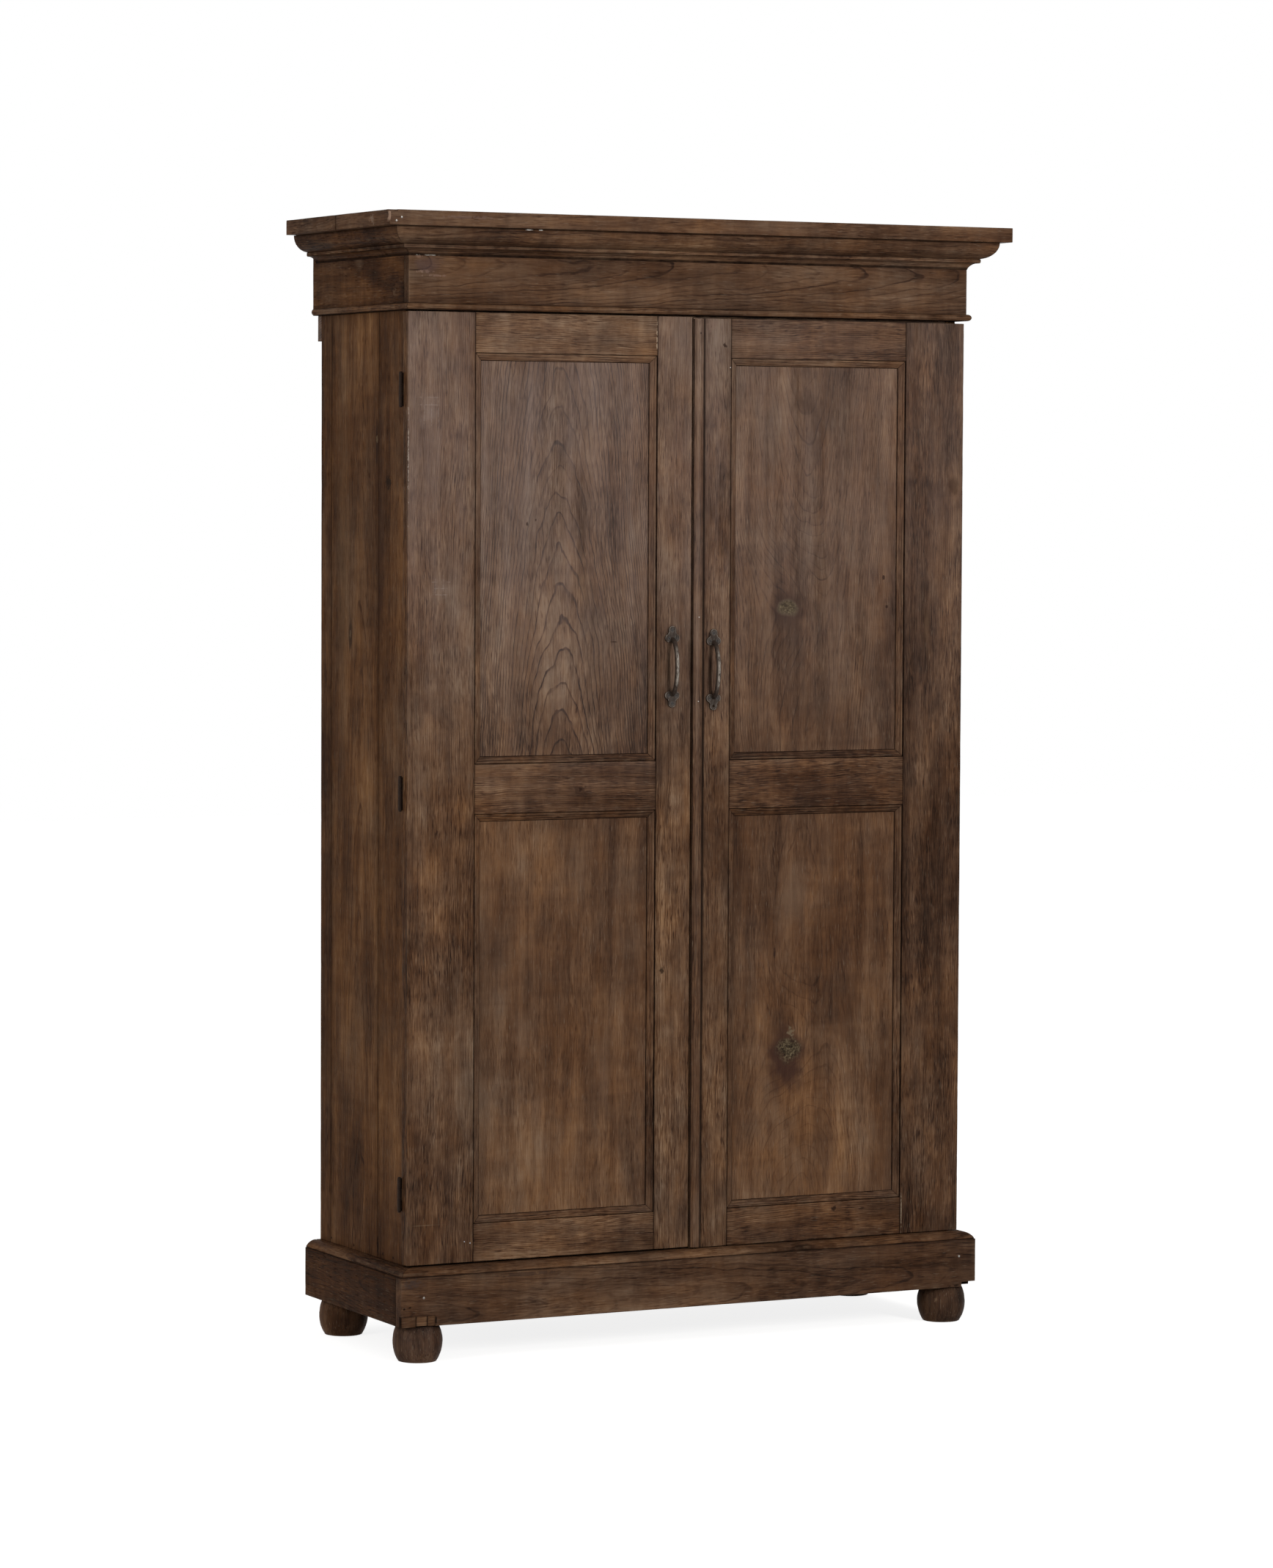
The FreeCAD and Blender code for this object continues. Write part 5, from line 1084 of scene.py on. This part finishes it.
cast_iron = iron_finish("cast_iron", (0.0240, 0.0170, 0.0135), metal=0.0, gloss=0.06, bare_and_highlight=(0.36, 0.32, 0.28))
for side in ("left", "right"):
    node = side + "_door_handle"
    casting = bpy.data.meshes.new(node)
    shell = bmesh.new()
    shell.from_mesh(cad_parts[node].data)
    bmesh.ops.remove_doubles(shell, verts=shell.verts, dist=0.01 * mm)
    shell.to_mesh(casting)
    shell.free()
    blank = placed(side + "_handle_blank", casting)
    remesh = blank.modifiers.new("even_skin", "REMESH")
    remesh.mode = "VOXEL"
    remesh.voxel_size = 0.55 * mm
    rounding = blank.modifiers.new("cast_corners", "SMOOTH")
    rounding.factor = 0.5
    rounding.iterations = 4
    seen = blank.evaluated_get(bpy.context.evaluated_depsgraph_get())
    skin = bpy.data.meshes.new_from_object(seen)
    bpy.data.objects.remove(blank)
    points = read_vectors(skin.vertices, "co")
    normals = read_vectors(skin.vertex_normals, "vector")
    sunk = (uneven(points, 160, 181) * 0.12 - 0.12) * mm
    points = points + normals * sunk[:, None]
    skin.vertices.foreach_set("co", points.ravel())

    # The grip is rubbed along its middle, and the plates on their faces and most of all on their rims: wear
    # with painted highlights, brightest where they face the front.
    middle = (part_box(node)[0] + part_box(node)[1]) / 2
    stands = np.clip((door_face - points[:, 1]) / grip_stand_off, 0, 1)
    toward_front = np.clip(-normals[:, 1], 0, 1)
    along_grip = np.clip(1 - np.abs(points[:, 2] - middle.z) / grip_half, 0, 1)
    on_grip = np.clip(stands * 1.4 - 0.5, 0, 1) * toward_front ** 4 * np.clip(along_grip * 2, 0, 1)
    on_plate = np.clip(1 - stands * 4, 0, 1) * toward_front ** 2
    ends = np.zeros(len(skin.edges) * 2, np.int32)
    skin.edges.foreach_get("vertices", ends)
    first, second = ends.reshape(-1, 2).T
    count = np.bincount(ends, minlength=len(points))[:, None]

    def neighbours_mean(values):
        """The mean of the values at each point's neighbours."""
        gathered = np.zeros_like(values)
        np.add.at(gathered, first, values[second])
        np.add.at(gathered, second, values[first])
        return gathered / count

    rim = ((points - neighbours_mean(points)) * normals).sum(1, keepdims=True)
    for again in range(3):
        rim = (rim + neighbours_mean(rim)) / 2
    on_rim = np.clip((rim[:, 0] - 0.010 * mm) / (0.025 * mm), 0, 1)
    rubbed_and_highlit = np.maximum(on_grip * 1.2, 0.16 * on_plate)
    rubbed_and_highlit = np.clip(rubbed_and_highlit + 0.65 * on_plate ** 0.5 * on_rim, 0, 1)
    skin.attributes.new("rubbed_and_highlit", "FLOAT", "POINT").data.foreach_set("value", rubbed_and_highlit.astype(np.float32))
    skin.shade_smooth()
    skin.materials.clear()
    skin.materials.append(cast_iron)
    fitted(side + "_handle_casting", skin, side + "_door", "cast_iron", node)

# ---------------------------------------------------------------------------------------------------
# Screws and nails: slotted countersunk screws hold the handles and the hinge leaves, and four bright wire
# nails hold the cap and the plinth. Each kind is one form, repeated at its places.
screw_steel = iron_finish("screw_steel", (0.014, 0.011, 0.009), metal=0.2)
bright_steel = iron_finish("bright_steel", (0.14, 0.13, 0.12), roughness=0.35)


def new_tree(name, sizes):
    """A tree for a modifier, with its named sizes as inputs, and its input and output nodes."""
    tree = bpy.data.node_groups.new(name, "GeometryNodeTree")
    tree.interface.new_socket(name="Geometry", in_out="INPUT", socket_type="NodeSocketGeometry")
    for label, value in sizes.items():
        made = tree.interface.new_socket(name=label, in_out="INPUT", socket_type="NodeSocketFloat")
        made.default_value = value
    tree.interface.new_socket(name="Material", in_out="INPUT", socket_type="NodeSocketMaterial")
    tree.interface.new_socket(name="Geometry", in_out="OUTPUT", socket_type="NodeSocketGeometry")
    return tree, tree.nodes.new("NodeGroupInput").outputs, tree.nodes.new("NodeGroupOutput").inputs


def less(first, second):
    """One size less another."""
    return reckon("SUBTRACT", first, second)


def moved_up(shape, height):
    """A shape moved along its own axis."""
    tree = shape.id_data
    lift = shader(tree, "CombineXYZ", {2: height}).outputs[0]
    return node_in(tree, "GeometryNodeTransform", {"Geometry": shape, "Translation": lift}).outputs[0]


def repeat_at_places(tree, sizes, result, *shapes):
    """Put the joined shapes at every point, turned as it says and then by chance about their own axis."""
    form = node_in(tree, "GeometryNodeJoinGeometry")
    for shape in shapes:
        tree.links.new(shape, form.inputs[0])
    stored = node_in(tree, "GeometryNodeInputNamedAttribute", {"Name": "turn"}, data_type="FLOAT_VECTOR")
    facing = node_in(tree, "FunctionNodeEulerToRotation", {0: stored.outputs[0]}).outputs[0]
    chance = node_in(tree, "FunctionNodeRandomValue", {3: math.pi, "Seed": 7}, data_type="FLOAT")
    spin = shader(tree, "CombineXYZ", {2: chance.outputs[1]}).outputs[0]
    spin = node_in(tree, "FunctionNodeEulerToRotation", {0: spin}).outputs[0]
    turned = node_in(tree, "FunctionNodeRotateRotation", {0: facing, 1: spin}, rotation_space="LOCAL")
    copies = node_in(tree, "GeometryNodeInstanceOnPoints", {
        "Points": sizes["Geometry"], "Instance": form.outputs[0], "Rotation": turned.outputs[0]}).outputs[0]
    solid = node_in(tree, "GeometryNodeRealizeInstances", {0: copies}).outputs[0]
    dressed = node_in(tree, "GeometryNodeSetMaterial", {"Geometry": solid, "Material": sizes["Material"]})
    tree.links.new(dressed.outputs[0], result["Geometry"])


screws, size, result = new_tree("slotted_screws", {
    "Head Width": 6.4 * mm, "Shank Width": 3.2 * mm, "Length": 16 * mm, "Slot Width": 0.9 * mm,
    "Slot Depth": 0.8 * mm})
half_head = times(size["Head Width"], 0.5)
half_shank = times(size["Shank Width"], 0.5)
head_depth = less(half_head, half_shank)
head = node_in(screws, "GeometryNodeMeshCone", {"Vertices": 28, "Radius Top": half_head,
                                                "Radius Bottom": half_shank, "Depth": head_depth}).outputs[0]
head = moved_up(head, times(head_depth, -1.0))
slot_size = shader(screws, "CombineXYZ", {0: times(size["Head Width"], 2.0), 1: size["Slot Width"],
                                          2: times(size["Slot Depth"], 2.0)}).outputs[0]
slot_block = node_in(screws, "GeometryNodeMeshCube", {"Size": slot_size}).outputs[0]
slotted = node_in(screws, "GeometryNodeMeshBoolean", {"Mesh 1": head, "Mesh 2": slot_block},
                  operation="DIFFERENCE").outputs[0]
shank = node_in(screws, "GeometryNodeMeshCylinder", {"Vertices": 12, "Radius": half_shank,
                                                     "Depth": less(size["Length"], head_depth)}).outputs[0]
shank = moved_up(shank, times(total(size["Length"], head_depth), -0.5))
repeat_at_places(screws, size, result, slotted, shank)

nails, size, result = new_tree("wire_nails", {
    "Head Width": 4.4 * mm, "Head Height": 0.8 * mm, "Shank Width": 2.2 * mm, "Length": 32 * mm,
    "Proud": 0.3 * mm})
half_head = times(size["Head Width"], 0.5)
dome = node_in(nails, "GeometryNodeMeshUVSphere", {"Segments": 24, "Rings": 10,
                                                   "Radius": half_head}).outputs[0]
flatten = shader(nails, "CombineXYZ", {0: 1.0, 1: 1.0, 2: reckon(
    "DIVIDE", times(size["Head Height"], 0.5), half_head)}).outputs[0]
dome = node_in(nails, "GeometryNodeTransform", {"Geometry": dome, "Scale": flatten}).outputs[0]
dome = moved_up(dome, less(size["Proud"], times(size["Head Height"], 0.5)))
shank = node_in(nails, "GeometryNodeMeshCylinder", {
    "Vertices": 10, "Radius": times(size["Shank Width"], 0.5),
    "Depth": less(size["Length"], size["Head Height"])}).outputs[0]
shank = moved_up(shank, times(size["Length"], -0.5))
repeat_at_places(nails, size, result, dome, shank)


def fasteners(name, tree, points, way, sizes, material, body, slot, node):
    """Run a tree of fasteners over its points, their heads all looking one way, and keep the plain mesh."""
    mesh = bpy.data.meshes.new(name)
    mesh.from_pydata(points, [], [])
    turn = mesh.attributes.new("turn", "FLOAT_VECTOR", "POINT")
    turn.data.foreach_set("vector", [*Vector(way).to_track_quat("Z", "Y").to_euler()] * len(points))
    carrier = placed(name + "_places", mesh)
    modifier = carrier.modifiers.new("forms", "NODES")
    modifier.node_group = tree
    for item in tree.interface.items_tree:
        if item.in_out == "INPUT" and item.name in sizes:
            modifier[item.identifier] = sizes[item.name]
        if item.in_out == "INPUT" and item.name == "Material":
            modifier[item.identifier] = material
    seen = carrier.evaluated_get(bpy.context.evaluated_depsgraph_get())
    solid = bpy.data.meshes.new_from_object(seen)
    bpy.data.objects.remove(carrier)
    solid.shade_smooth()
    solid.set_sharp_from_angle(angle=math.radians(40))
    fitted(name, solid, body, slot, node)


to_front, to_back = (0, -1, 0), (0, 1, 0)
lobe_spots = [(-7.1, 51), (7.1, 51), (0, 65.2), (-7.1, -51), (7.1, -51), (0, -65.2)]
leaf_screw_sizes = {"Head Width": 6 * mm, "Shank Width": 3 * mm, "Length": 15 * mm}
leaf_screw_x = 540.95 * mm
leaf_screw_gap = 19 * mm
leaf_screw_heights = [height + step * leaf_screw_gap for height in hinge_heights for step in (-1, 0, 1)]
handle_plate = 3 * mm
for side, count in (("left", 6), ("right", 5)):
    low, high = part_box(side + "_door_handle")
    centre_x, centre_z = (low.x + high.x) / 2, (low.z + high.z) / 2
    points = [(centre_x + across * mm, door_face - handle_plate, centre_z + rise * mm)
              for across, rise in lobe_spots[:count]]
    fasteners(side + "_handle_screw_set", screws, points, to_front, {}, screw_steel, side + "_door",
              "screw_steel", side + "_door_handle_screws")
points = [(hand * leaf_screw_x, case_front, height) for hand in (-1, 1) for height in leaf_screw_heights]
fasteners("case_hinge_screw_set", screws, points, to_front, leaf_screw_sizes, screw_steel, "carcase",
          "screw_steel", "case_hinge_screws")
for side, hand in (("left", -1), ("right", 1)):
    door_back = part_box(side + "_door_hinge_stile")[1].y
    points = [(hand * leaf_screw_x, door_back, height) for height in leaf_screw_heights]
    fasteners(side + "_hinge_screw_set", screws, points, to_back, leaf_screw_sizes, screw_steel,
              side + "_door", "screw_steel", side + "_door_hinge_screws")
cap_front_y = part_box("cap_boards")[0].y
plinth_front_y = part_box("plinth_front")[0].y
points = [(x * mm, front_y, z * mm) for x, front_y, z in (
    (-606.4, cap_front_y, 1981), (-596.4, cap_front_y, 1987), (-535, plinth_front_y, 115.5),
    (543.5, plinth_front_y, 121.5))]
fasteners("wire_nail_set", nails, points, to_front, {}, bright_steel, "carcase", "bright_steel", "nails")

# ---------------------------------------------------------------------------------------------------
# Hinges and catches: plain butt hinges of dark iron, three a door, with their pins, and a small wooden
# catch block under the ceiling board for each door, with a steel plate on the door. The solids of the
# hinges and plates show as they are.
hinge_iron = iron_finish("hinge_iron", (0.018, 0.011, 0.008), roughness=0.75, metal=0.0, gloss=0.1)
catch_length = 46 * mm
for node, metal in (("case_hinge_leaves", hinge_iron), ("left_door_hinge_leaves", hinge_iron),
                    ("right_door_hinge_leaves", hinge_iron), ("hinge_pins", hinge_iron),
                    ("left_door_catch_plate", bright_steel), ("right_door_catch_plate", bright_steel)):
    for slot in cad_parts[node].material_slots:
        slot.material = metal
low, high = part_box("door_catches")
inner_piece("catch_blocks", [
    board((start, low.y, low.z), (start + catch_length, high.y, high.z), "x", "-y", 191 + spot,
          (0.1, 0.03, 0.01), inner_tint, "+z", soft=1 * mm, step=8 * mm)
    for spot, start in enumerate((low.x, high.x - catch_length))], "door_catches")
